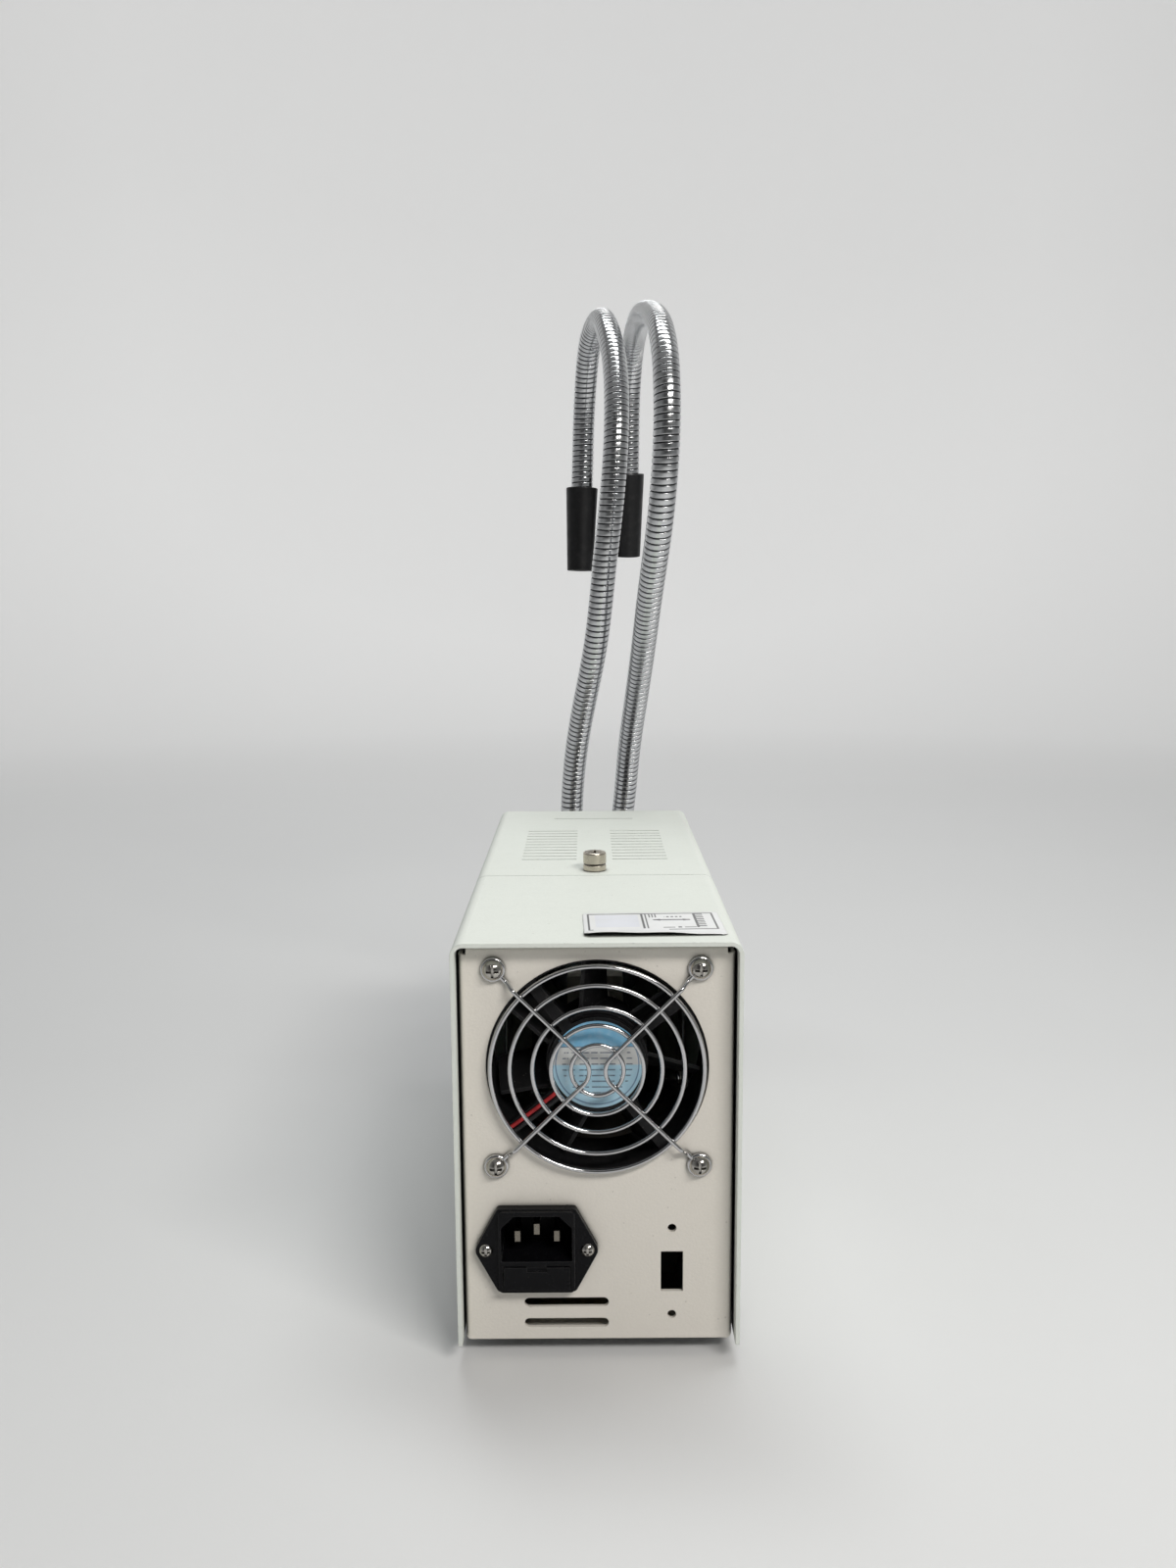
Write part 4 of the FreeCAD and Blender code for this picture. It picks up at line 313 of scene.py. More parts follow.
def arm_route(plan):
    """Route of one arm, from inside the block to the end of its tip."""
    block_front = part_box("junction_block")[1].y
    start = np.array([plan["side"] * HOSE_SPACING / 2, block_front, HOSE_HEIGHT])
    reach = np.array([plan["sway"], plan["depth"], ARM_HEIGHT])
    lean = np.array(plan["lean"]) / np.linalg.norm(plan["lean"])
    points = [start + np.array(share) * reach for share in plan["shares"]]
    return Route([start - np.array([0.0, IN_BLOCK, 0.0])] + points + [points[-1] + lean * TIP_LENGTH])


def wound_hose(name, route, first, last, hose):
    """One stretch of wound steel hose, from turn `first` to turn `last`.

    A rib's profile r(v) is carried along a helix: at turn u and share v of the pitch p the surface is
    P(s) + r(v) (N cos 2 pi u + B sin 2 pi u) with s = (u + v) p, where P is the route and N, B are across it.
    """
    shares = np.array([share for share, _ in RIB] + [1.0])
    depth = np.array([low for _, low in RIB] + [RIB[0][1]])
    radius = hose.crown_radius + (hose.groove_radius - hose.crown_radius) * depth
    rows = round((last - first) * hose.sides) + 1
    turn = first + np.arange(rows) / hose.sides
    distance = ((turn[:, None] + shares[None, :]) * hose.pitch - IN_BLOCK).ravel()
    angle = np.repeat(2 * math.pi * turn, len(shares))
    point, along = route.at(distance)
    side, other = across(along)
    spread = side * np.cos(angle)[:, None] + other * np.sin(angle)[:, None]
    points = point + spread * np.tile(radius, rows)[:, None]
    faces = grid_faces(rows, len(shares))
    columns = len(shares)
    middle = route.at((np.array([first, last]) + 0.5) * hose.pitch - IN_BLOCK)[0]
    points = np.concatenate([points, middle])
    start_edge = [i * columns for i in range(hose.sides + 1)] + list(range(columns - 1, 0, -1))
    last_row = (rows - 1) * columns
    end_edge = [(rows - 1 - hose.sides + i) * columns + columns - 1 for i in range(hose.sides + 1)]
    end_edge += [last_row + j for j in range(columns - 2, -1, -1)]
    for centre, edge in ((len(points) - 2, start_edge), (len(points) - 1, end_edge)):
        faces += [[centre, a, b] for a, b in zip(edge, edge[1:] + edge[:1])]
    piece = surface(name, points, faces, "wound_steel")
    low = np.concatenate([np.tile(depth, rows), [1.0, 1.0]])
    groove = piece.data.attributes.new("groove", "FLOAT", "POINT")
    groove.data.foreach_set("value", low.astype(np.float32))
    outward(piece)
    return piece


def wire(name, route, first, last, radius, finish, sides=14, count=160):
    """A round wire with domed ends: P(s) + r (N cos a + B sin a), where r closes as a quarter ellipse at each end."""
    dome = np.linspace(0.0, math.pi / 2, 5)
    distance = np.concatenate([
        first + radius * (1 - np.cos(dome[:-1])),
        np.linspace(first + radius, last - radius, count),
        last - radius * (1 - np.cos(dome[:-1]))[::-1],
    ])
    size = np.concatenate([np.sin(dome[:-1]), np.ones(count), np.sin(dome[:-1])[::-1]]) * radius
    point, along = route.at(distance)
    side, other = across(along)
    angle = np.linspace(0.0, 2 * math.pi, sides + 1)
    spread = side[:, None] * np.cos(angle)[None, :, None] + other[:, None] * np.sin(angle)[None, :, None]
    points = (point[:, None] + spread * size[:, None, None]).reshape(-1, 3)
    piece = surface(name, points, grid_faces(len(distance), sides + 1), finish)
    outward(piece)
    return piece


# Finishes

class Finish:
    """A material's nodes, put together step by step on one shader."""

    def __init__(self, name, colour, roughness, metallic=0.0, **constants):
        self.material = bpy.data.materials.new(f"{name}_finish")
        FINISHES[name] = self.material
        self.material.use_nodes = True
        self.material.diffuse_color = (*colour[:3], 1.0)
        self.nodes = self.material.node_tree.nodes
        self.links = self.material.node_tree.links
        self.shader = self.nodes["Principled BSDF"]
        self.shader.inputs["Metallic"].default_value = metallic
        for socket, value in constants.items():
            self.shader.inputs[socket.replace("_", " ")].default_value = value
        self.colour = (*colour[:3], 1.0)
        self.roughness = roughness
        self.normal = None
        self.place = self.add("ShaderNodeTexCoord").outputs["Object"]

    def add(self, kind, inputs=(), **settings):
        """A new node with its settings and its inputs, each a value or another node's output."""
        node = self.nodes.new(kind)
        for key, value in settings.items():
            setattr(node, key, value)
        for key, value in dict(inputs).items():
            if isinstance(value, bpy.types.NodeSocket):
                self.links.new(value, node.inputs[key])
            elif value is not None:
                node.inputs[key].default_value = value
        return node

    def math(self, operation, a, b=None, clamp=False):
        """One sum on two values."""
        return self.add("ShaderNodeMath", {0: a, 1: b}, operation=operation, use_clamp=clamp).outputs[0]

    def spread(self, value, low, high):
        """Brings low..high to 0..1."""
        limits = {"Value": value, "From Min": low, "From Max": high}
        return self.add("ShaderNodeMapRange", limits, clamp=True).outputs[0]

    def stretched(self, stretch):
        """Place, stretched along the axes."""
        if stretch is None:
            return self.place
        inputs = {0: self.place, 1: stretch}
        return self.add("ShaderNodeVectorMath", inputs, operation="MULTIPLY").outputs[0]

    def mottle(self, size, low=0.35, high=0.65, detail=3.0, stretch=None):
        """Cloudy mask, 0..1, with patches of this size."""
        inputs = {"Vector": self.stretched(stretch), "Scale": 1 / size, "Detail": detail}
        return self.spread(self.add("ShaderNodeTexNoise", inputs).outputs[0], low, high)

    def specks(self, size, share, softness=0.3):
        """Round specks, on that share of the surface's cells."""
        cells = self.add("ShaderNodeTexVoronoi", {"Vector": self.place, "Scale": 1 / size})
        pick = self.add("ShaderNodeSeparateColor", {0: cells.outputs["Color"]}).outputs[0]
        dot = self.spread(cells.outputs["Distance"], 0.35, 0.35 * softness)
        return self.math("MULTIPLY", dot, self.math("LESS_THAN", pick, share))

    def axis(self, name):
        """One coordinate of the place."""
        return self.add("ShaderNodeSeparateXYZ", {0: self.place}).outputs[name]

    def beyond(self, name, centre, half, soft=0.05 * MM):
        """1 where that coordinate lies further than half from the centre."""
        away = self.math("ABSOLUTE", self.math("SUBTRACT", self.axis(name), centre))
        return self.spread(away, half - soft, half + soft)

    def stripes(self, name, pitch, share=0.5, soft=0.1):
        """Bands across one coordinate: 1 on that share of each pitch."""
        saw = self.math("FRACT", self.math("DIVIDE", self.axis(name), pitch))
        hump = self.math("ABSOLUTE", self.math("SUBTRACT", saw, 0.5))
        return self.spread(hump, share / 2 + soft, share / 2 - soft)

    def edges(self, radius):
        """1 where the surface turns a corner within that radius."""
        soft = self.add("ShaderNodeBevel", {"Radius": radius}, samples=4).outputs[0]
        flat = self.add("ShaderNodeNewGeometry").outputs["Normal"]
        turn = self.add("ShaderNodeVectorMath", {0: soft, 1: flat}, operation="DOT_PRODUCT").outputs["Value"]
        return self.spread(turn, 0.995, 0.85)

    def shade_in_hollows(self, reach):
        """1 deep in narrow hollows, such as a screw's recess; it masks painted shade there."""
        inputs = {"Distance": reach}
        open_share = self.add("ShaderNodeAmbientOcclusion", inputs, samples=4).outputs["AO"]
        return self.spread(open_share, 0.8, 0.35)

    def tint(self, mask, colour, amount=1.0):
        """Moves the colour towards another one where the mask is 1."""
        if amount != 1.0:
            mask = self.math("MULTIPLY", mask, amount)
        inputs = {0: mask, 6: self.colour, 7: (*colour[:3], 1.0)}
        self.colour = self.add("ShaderNodeMix", inputs, data_type="RGBA").outputs[2]

    def gloss(self, mask, roughness, amount=1.0):
        """Moves the roughness towards another one where the mask is 1."""
        if amount != 1.0:
            mask = self.math("MULTIPLY", mask, amount)
        self.roughness = self.add("ShaderNodeMix", {0: mask, 2: self.roughness, 3: roughness}).outputs[0]

    def soften(self, radius):
        """Rounds the look of every edge by that radius."""
        inputs = {"Radius": radius}
        if self.normal is not None:
            inputs["Normal"] = self.normal
        self.normal = self.add("ShaderNodeBevel", inputs, samples=4).outputs[0]

    def relief(self, height, depth):
        """Raises the surface by depth where height is 1."""
        inputs = {"Height": height, "Distance": depth}
        if self.normal is not None:
            inputs["Normal"] = self.normal
        self.normal = self.add("ShaderNodeBump", inputs).outputs[0]

    def metallic(self, mask):
        """Metal where the mask is 1."""
        self.links.new(mask, self.shader.inputs["Metallic"])

    def done(self):
        """Wires what was put together into the shader."""
        for socket, value in (("Base Color", self.colour), ("Roughness", self.roughness), ("Normal", self.normal)):
            if isinstance(value, bpy.types.NodeSocket):
                self.links.new(value, self.shader.inputs[socket])
            elif value is not None:
                self.shader.inputs[socket].default_value = value
        return self.material


def shade(colour, factor):
    """The colour, made darker or lighter."""
    return tuple(min(1.0, part * factor) for part in colour[:3])


def powder_paint(name, colour, peel):
    """Powder paint on sheet metal: fine orange peel, faint soiling, painted shade in its slots, seams and gaps,
    corners painted lighter as a highlight with darker worn patches on them, and a few specks.
    """
    paint = Finish(name, colour, 0.5, Specular_IOR_Level=0.42)
    paint.soften(0.45 * MM)
    paint.tint(paint.mottle(60 * MM, 0.3, 0.75), shade(colour, 0.93), 0.55)
    paint.tint(paint.mottle(7 * MM, 0.5, 0.8, detail=5.0), shade(colour, 0.9), 0.3)
    paint.tint(paint.mottle(1.1 * MM, 0.35, 0.7), shade(colour, 0.93), 0.5)
    paint.tint(paint.specks(1.3 * MM, 0.012), (0.3, 0.28, 0.25), 0.35)
    # Painted shade: near black deep in slots, seams and the gaps round the panels, where shade falls.
    paint.tint(paint.shade_in_hollows(2.5 * MM), (0.02, 0.02, 0.018), 0.95)
    corner = paint.edges(0.5 * MM)
    # Painted highlight: every corner is made lighter, as if catching the light; the darker patches on the corners
    # below are worn chips.
    paint.tint(corner, shade(colour, 1.08), 0.5)
    paint.tint(paint.math("MULTIPLY", corner, paint.mottle(2.2 * MM, 0.62, 0.72)), (0.33, 0.33, 0.32), 0.75)
    paint.gloss(paint.mottle(11 * MM), 0.6)
    paint.gloss(corner, 0.38, 0.6)
    paint.relief(paint.mottle(0.9 * MM, 0.25, 0.75, detail=2.0), peel)
    paint.relief(paint.mottle(0.22 * MM, 0.2, 0.8, detail=1.0), peel * 0.35)
    return paint.done()


def bright_metal(name, colour, roughness, grain=(1.0, 1.0, 1.0), worn=0.5):
    """Plated metal: fine scratches along the grain, cloudy polish, dull dirt in patches, painted highlight on its
    edges and painted shade in its hollows.
    """
    tarnish = (0.35, 0.33, 0.3)
    metal = Finish(name, colour, roughness, 1.0)
    scratch = metal.mottle(0.5 * MM, 0.45, 0.75, detail=4.0, stretch=grain)
    metal.tint(metal.mottle(5 * MM, 0.45, 0.8, detail=4.0), tarnish, 0.25 * worn)
    metal.tint(metal.specks(2.2 * MM, 0.08), tarnish, 0.5 * worn)
    metal.tint(scratch, shade(colour, 0.82), 0.5)
    # Painted highlight: edges made lighter. Painted shade: near black deep in recesses such as a screw's cross.
    metal.tint(metal.edges(0.2 * MM), shade(colour, 1.35), 0.5)
    metal.tint(metal.shade_in_hollows(0.9 * MM), (0.012, 0.012, 0.012), 0.9)
    metal.gloss(metal.mottle(3 * MM), roughness + 0.2 * worn)
    metal.gloss(scratch, roughness + 0.3 * worn, 0.6)
    metal.soften(0.15 * MM)
    metal.relief(scratch, 0.004 * MM)
    return metal.done()


def moulded(name, colour, roughness, grain=0.35 * MM, dust=0.35, shine=0.3):
    """Moulded plastic: fine spark-eroded grain, rounded edges, corners painted lighter as a highlight and a little
    pale dust.
    """
    plastic = Finish(name, colour, roughness, IOR=1.49, Specular_IOR_Level=shine)
    plastic.soften(0.3 * MM)
    plastic.tint(plastic.mottle(14 * MM), shade(colour, 0.75), 0.4)
    plastic.tint(plastic.mottle(2.5 * MM, 0.55, 0.85, detail=6.0), (0.32, 0.3, 0.28), 0.12 * dust)
    plastic.tint(plastic.specks(0.8 * MM, 0.05), (0.5, 0.48, 0.45), 0.4 * dust)
    # Painted highlight: edges and corners made lighter, as if catching the light.
    plastic.tint(plastic.edges(0.35 * MM), tuple(part + 0.07 for part in colour), 0.6)
    plastic.gloss(plastic.mottle(6 * MM), roughness + 0.12)
    plastic.relief(plastic.mottle(grain, 0.25, 0.75, detail=2.0), 0.008 * MM)
    return plastic.done()


def clear_glass(name, colour, roughness, transmission):
    """Glass with a faint tint and smudges."""
    glass = Finish(name, colour, roughness, IOR=1.46, Transmission_Weight=transmission)
    glass.tint(glass.mottle(6 * MM), shade(colour, 0.9), 0.6)
    glass.gloss(glass.mottle(3 * MM, 0.5, 0.8, detail=5.0), roughness + 0.18)
    glass.relief(glass.mottle(2.5 * MM), 0.004 * MM)
    return glass.done()


def wound_steel(hose):
    """Bright wound strip: thin grooves painted dark as shade, fine marks round the hose, and faint rub marks on the
    crown.
    """
    steel = Finish("wound_steel", hose.steel, 0.14, 1.0)
    groove = steel.add("ShaderNodeAttribute", attribute_name="groove").outputs["Fac"]
    steel.tint(steel.mottle(3 * MM, 0.4, 0.8, detail=5.0), shade(hose.steel, 0.72), 0.5)
    steel.tint(steel.mottle(0.45 * MM, 0.45, 0.8, detail=3.0), shade(hose.steel, 0.8), 0.4)
    # Painted shade: the strip turns near black down in each groove.
    steel.tint(steel.spread(groove, 0.2, 0.75), hose.groove, 0.94)
    steel.gloss(steel.mottle(2 * MM), 0.22)
    steel.gloss(steel.spread(groove, 0.2, 0.9), 0.6)
    steel.relief(steel.mottle(0.6 * MM), 0.002 * MM)
    return steel.done()


def label_film(fan):
    """Fan label: three soft colour bands, a thin ring near the rim and fine plain rules below."""
    film = Finish("label_film", fan.label_low, 0.3, Coat_Weight=0.35, Coat_Roughness=0.12)
    height = film.math("SUBTRACT", film.axis("Z"), FAN_MIDDLE.z)
    film.tint(film.spread(height, -0.4 * MM, 0.2 * MM), fan.label_middle)
    film.tint(film.spread(height, 6.2 * MM, 6.8 * MM), fan.label_top)
    away = film.math("POWER", height, 2.0)
    sideways = film.math("POWER", film.axis("X"), 2.0)
    radius = film.math("SQRT", film.math("ADD", away, sideways))
    ring = film.math("ABSOLUTE", film.math("SUBTRACT", radius, 14.6 * MM))
    film.tint(film.spread(ring, 0.3 * MM, 0.15 * MM), (0.08, 0.16, 0.3), 0.8)
    rules = film.stripes("Z", 2.1 * MM, 0.24, 0.06)
    low = film.math("MULTIPLY", rules, film.spread(height, 5.6 * MM, 5.3 * MM))
    breaks = film.mottle(1.6 * MM, 0.42, 0.5, detail=1.0, stretch=(1.0, 1.0, 0.05))
    inside = film.math("MULTIPLY", low, film.spread(radius, 12.6 * MM, 12.2 * MM))
    film.tint(film.math("MULTIPLY", inside, breaks), (0.05, 0.08, 0.14), 0.8)
    film.tint(film.spread(film.math("ABSOLUTE", film.math("SUBTRACT", height, 6.5 * MM)), 0.25 * MM, 0.1 * MM),
              (0.04, 0.08, 0.16), 0.8)
    film.tint(film.mottle(2 * MM, 0.45, 0.8, detail=4.0), (0.75, 0.78, 0.8), 0.2)
    film.gloss(film.mottle(3 * MM), 0.42)
    film.relief(film.mottle(1.2 * MM), 0.004 * MM)
    return film.done()


def sticker_film(sticker):
    """Printed sticker: a thin round-cornered frame, a blank field, a double arrow, ticks and plain bars."""
    film = Finish("sticker_film", (0.86, 0.87, 0.875), 0.34, Coat_Weight=0.3, Coat_Roughness=0.15)
    place = film.add("ShaderNodeSeparateXYZ", {0: film.add("ShaderNodeUVMap", uv_map="print").outputs[0]})
    u = film.math("MULTIPLY", place.outputs["X"], sticker.width)
    v = film.math("MULTIPLY", place.outputs["Y"], sticker.length)
    blur = 0.12 * MM

    def within(value, low, high):
        """1 from low to high."""
        middle = (low + high) / 2 * MM
        away = film.math("ABSOLUTE", film.math("SUBTRACT", value, middle))
        half = (high - low) / 2 * MM
        return film.spread(away, half + blur, half - blur)

    def box(left, right, near, far):
        """1 in a box."""
        return film.math("MULTIPLY", within(u, left, right), within(v, near, far))

    def most(masks):
        """The largest of several masks."""
        total = masks[0]
        for mask in masks[1:]:
            total = film.math("MAXIMUM", total, mask)
        return total

    frame_line = film.math("SUBTRACT", box(1.6, 47.6, 7.8, 30.7), box(2.3, 46.9, 8.8, 29.7), clamp=True)
    near_gap = film.math("MULTIPLY", frame_line, film.math("SUBTRACT", 1.0, box(3.4, 30.0, 7.0, 9.5)))
    bars = [box(21.1, 21.9, 10.0, 29.9), box(22.6, 23.1, 10.0, 29.9)]
    for index in range(3):
        bars.append(box(24.0 + index * 1.1, 24.5 + index * 1.1, 24.8, 29.6))
    arrow = [box(25.4, 38.6, 20.7, 22.1)]
    slope = film.math("ABSOLUTE", film.math("SUBTRACT", v, 21.4 * MM))
    for tip, way in ((24.8, 1), (39.2, -1)):
        reach = film.math("MULTIPLY", film.math("SUBTRACT", u, tip * MM), way * 0.42)
        head = film.math("MULTIPLY", film.math("LESS_THAN", slope, reach), box(24.7, 39.3, 19.6, 23.2))
        near_tip = film.math("LESS_THAN", reach, 1.3 * MM)
        arrow.append(film.math("MULTIPLY", head, near_tip))
    teeth = film.math("LESS_THAN", film.math("FRACT", film.math("DIVIDE", v, 2.4 * MM)), 0.5)
    ticks = [film.math("MULTIPLY", teeth, box(40.6, 43.8, 10.6, 30.0)), box(40.2, 41.1, 10.6, 30.0)]
    rules = [box(28.2, 32.4, 10.6, 11.5), box(35.8, 40.0, 10.6, 11.5), box(33.5, 34.8, 10.4, 12.0)]
    dashes = film.math("LESS_THAN", film.math("FRACT", film.math("DIVIDE", u, 1.6 * MM)), 0.6)
    rules.append(film.math("MULTIPLY", dashes, box(29.6, 36.0, 25.0, 26.4)))
    field = box(4.4, 20.0, 12.0, 28.6)
    film.tint(field, (0.8, 0.82, 0.88))
    film.tint(film.mottle(6 * MM, 0.4, 0.8, detail=4.0), (0.72, 0.72, 0.7), 0.25)
    film.tint(most([near_gap] + bars + arrow + ticks + rules), (0.035, 0.035, 0.04), 0.9)
    film.gloss(film.mottle(4 * MM), 0.46)
    film.relief(film.mottle(3 * MM, detail=2.0), 0.02 * MM)
    return film.done()


def laminated_core():
    """Transformer: stacked varnished laminations, and yellow tape over the winding where it bulges out."""
    low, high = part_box("transformer")
    core = Finish("core_iron", (0.1, 0.09, 0.085), 0.42, 0.6)
    core.tint(core.stripes("Y", 0.7 * MM, 0.5, 0.2), (0.2, 0.19, 0.18), 0.7)
    core.tint(core.mottle(4 * MM, 0.5, 0.8, detail=5.0), (0.22, 0.11, 0.05), 0.4)
    winding = core.beyond("Y", (low.y + high.y) / 2, 19.3 * MM)
    core.tint(winding, (0.62, 0.46, 0.1))
    core.tint(core.math("MULTIPLY", winding, core.stripes("Z", 5 * MM, 0.08, 0.03)), (0.35, 0.24, 0.05), 0.8)
    core.metallic(core.math("SUBTRACT", 0.6, winding, clamp=True))
    core.relief(core.stripes("Y", 0.7 * MM, 0.5, 0.2), 0.03 * MM)
    core.soften(0.3 * MM)
    return core.done()


def copper_winding():
    """Enamelled copper wire, wound round each pole."""
    wire_finish = Finish("coil_copper", (0.62, 0.26, 0.11), 0.28, 1.0)
    wire_finish.tint(wire_finish.stripes("Y", 0.45 * MM, 0.4, 0.25), (0.22, 0.08, 0.03), 0.8)
    wire_finish.tint(wire_finish.mottle(2 * MM), (0.4, 0.15, 0.06), 0.5)
    wire_finish.relief(wire_finish.stripes("Y", 0.45 * MM, 0.4, 0.25), -0.08 * MM)
    return wire_finish.done()


def circuit_board():
    """Green solder mask over copper tracks, with a paler rim."""
    board = Finish("board_green", (0.02, 0.13, 0.05), 0.34, Coat_Weight=0.4, Coat_Roughness=0.2)
    tracks = board.math("MULTIPLY", board.stripes("X", 3.1 * MM, 0.3, 0.04), board.mottle(9 * MM, 0.48, 0.52))
    cross = board.math("MULTIPLY", board.stripes("Y", 4.3 * MM, 0.25, 0.04), board.mottle(13 * MM, 0.5, 0.54))
    both = board.math("MAXIMUM", tracks, cross)
    board.tint(both, (0.05, 0.24, 0.08), 0.9)
    board.tint(board.specks(3.4 * MM, 0.3, 0.8), (0.6, 0.6, 0.55), 0.9)
    board.tint(board.edges(0.4 * MM), (0.3, 0.32, 0.16), 0.7)
    board.relief(both, 0.035 * MM)
    return board.done()


def fibre_bundle():
    """Polished end of thousands of thin glass fibres in resin."""
    bundle = Finish("fibre_glass", (0.78, 0.78, 0.7), 0.16, IOR=1.55, Coat_Weight=0.5, Coat_Roughness=0.05)
    cells = bundle.add("ShaderNodeTexVoronoi", {"Vector": bundle.place, "Scale": 1 / (0.3 * MM)})
    rim = bundle.spread(cells.outputs["Distance"], 0.35, 0.6)
    bundle.tint(rim, (0.2, 0.18, 0.14), 0.8)
    bundle.tint(bundle.mottle(1.5 * MM), (0.62, 0.64, 0.6), 0.5)
    bundle.relief(rim, -0.01 * MM)
    return bundle.done()


def glass_fuse():
    """Glass fuse with plated caps at both ends."""
    low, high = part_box("fuse")
    fuse = Finish("fuse_glass", (0.75, 0.8, 0.8), 0.06, IOR=1.46)
    cap = fuse.beyond("X", (low.x + high.x) / 2, 5 * MM)
    fuse.tint(cap, (0.72, 0.7, 0.66))
    fuse.tint(fuse.mottle(1.5 * MM), (0.5, 0.5, 0.48), 0.3)
    fuse.gloss(cap, 0.24)
    fuse.metallic(cap)
    fuse.relief(fuse.mottle(1.0 * MM), 0.005 * MM)
    return fuse.done()


def rubber():
    """Soft black rubber with a chalky bloom."""
    foot = Finish("foot_rubber", (0.022, 0.022, 0.023), 0.78)
    foot.tint(foot.mottle(3 * MM, 0.45, 0.8, detail=5.0), (0.12, 0.115, 0.11), 0.35)
    foot.tint(foot.edges(0.4 * MM), (0.08, 0.08, 0.08), 0.5)
    foot.gloss(foot.mottle(2 * MM), 0.9)
    foot.relief(foot.mottle(0.4 * MM), 0.015 * MM)
    return foot.done()


def anodised(name, colour, roughness):
    """Satin black anodised tube: turned grain round it and grey rubbed edges."""
    tube = Finish(name, colour, roughness, 0.35)
    turned = tube.mottle(0.35 * MM, 0.3, 0.7, detail=2.0, stretch=(0.12, 0.12, 2.0))
    tube.soften(0.25 * MM)
    tube.tint(turned, shade(colour, 1.7), 0.5)
    tube.tint(tube.mottle(4 * MM, 0.5, 0.8, detail=6.0), (0.2, 0.2, 0.2), 0.05)
    tube.tint(tube.edges(0.4 * MM), (0.16, 0.16, 0.17), 0.7)
    tube.gloss(tube.mottle(5 * MM), roughness + 0.12)
    tube.relief(turned, 0.006 * MM)
    return tube.done()


def wire_sleeve(name, colour):
    """Soft glossy insulation with a few kinks and smudges."""
    sleeve = Finish(name, colour, 0.36, IOR=1.5)
    sleeve.tint(sleeve.mottle(5 * MM), shade(colour, 0.7), 0.5)
    sleeve.tint(sleeve.specks(1.2 * MM, 0.08), (0.4, 0.38, 0.36), 0.4)
    sleeve.gloss(sleeve.mottle(2 * MM), 0.5)
    sleeve.relief(sleeve.mottle(0.8 * MM), 0.01 * MM)
    return sleeve.done()


NODE_FINISHES = {
    "case_paint": ("outer_cover", "lamp_cover"),
    "panel_paint": ("rear_panel", "front_panel"),
    "zinc_steel": ("chassis_pan", "seam_bridge", "lamp_bracket"),
    "nickel": (
        "cover_screws", "foot_screws", "guard_screws", "guard_nuts", "inlet_screws", "inlet_nuts", "port_screws",
        "potentiometer_nut", "knob_shaft", "fan_shaft", "board_standoffs",
    ),
    "thumb_nickel": ("thumb_screw", "screw_collar"),
    "guard_chrome": ("finger_guard",),
    "fan_plastic": ("fan_frame", "fan_impeller"),
    "coil_copper": ("fan_coils",),
    "label_film": ("fan_label",),
    "inlet_plastic": ("mains_inlet", "fuse_drawer"),
    "contact_metal": ("inlet_pins",),
    "fuse_glass": ("fuse",),
    "foot_rubber": ("rubber_feet",),
    "reflector_glass": ("lamp_reflector",),
    "quartz": ("lamp_capsule",),
    "ceramic": ("lamp_socket",),
    "lead_sleeve": ("lamp_leads",),
    "filter_glass": ("heat_filter",),
    "port_metal": ("light_port", "guide_ferrule"),
    "black_anodised": ("junction_block", "guide_tip_left", "guide_tip_right", "port_lock_screw"),
    "control_plastic": ("intensity_knob", "switch_body", "power_rocker", "potentiometer"),
    "core_iron": ("transformer",),
    "board_green": ("control_board",),
    "fibre_glass": ("fibre_trunk", "fibre_left_lower", "fibre_left_upper", "fibre_right_lower", "fibre_right_upper"),
}


# Operators

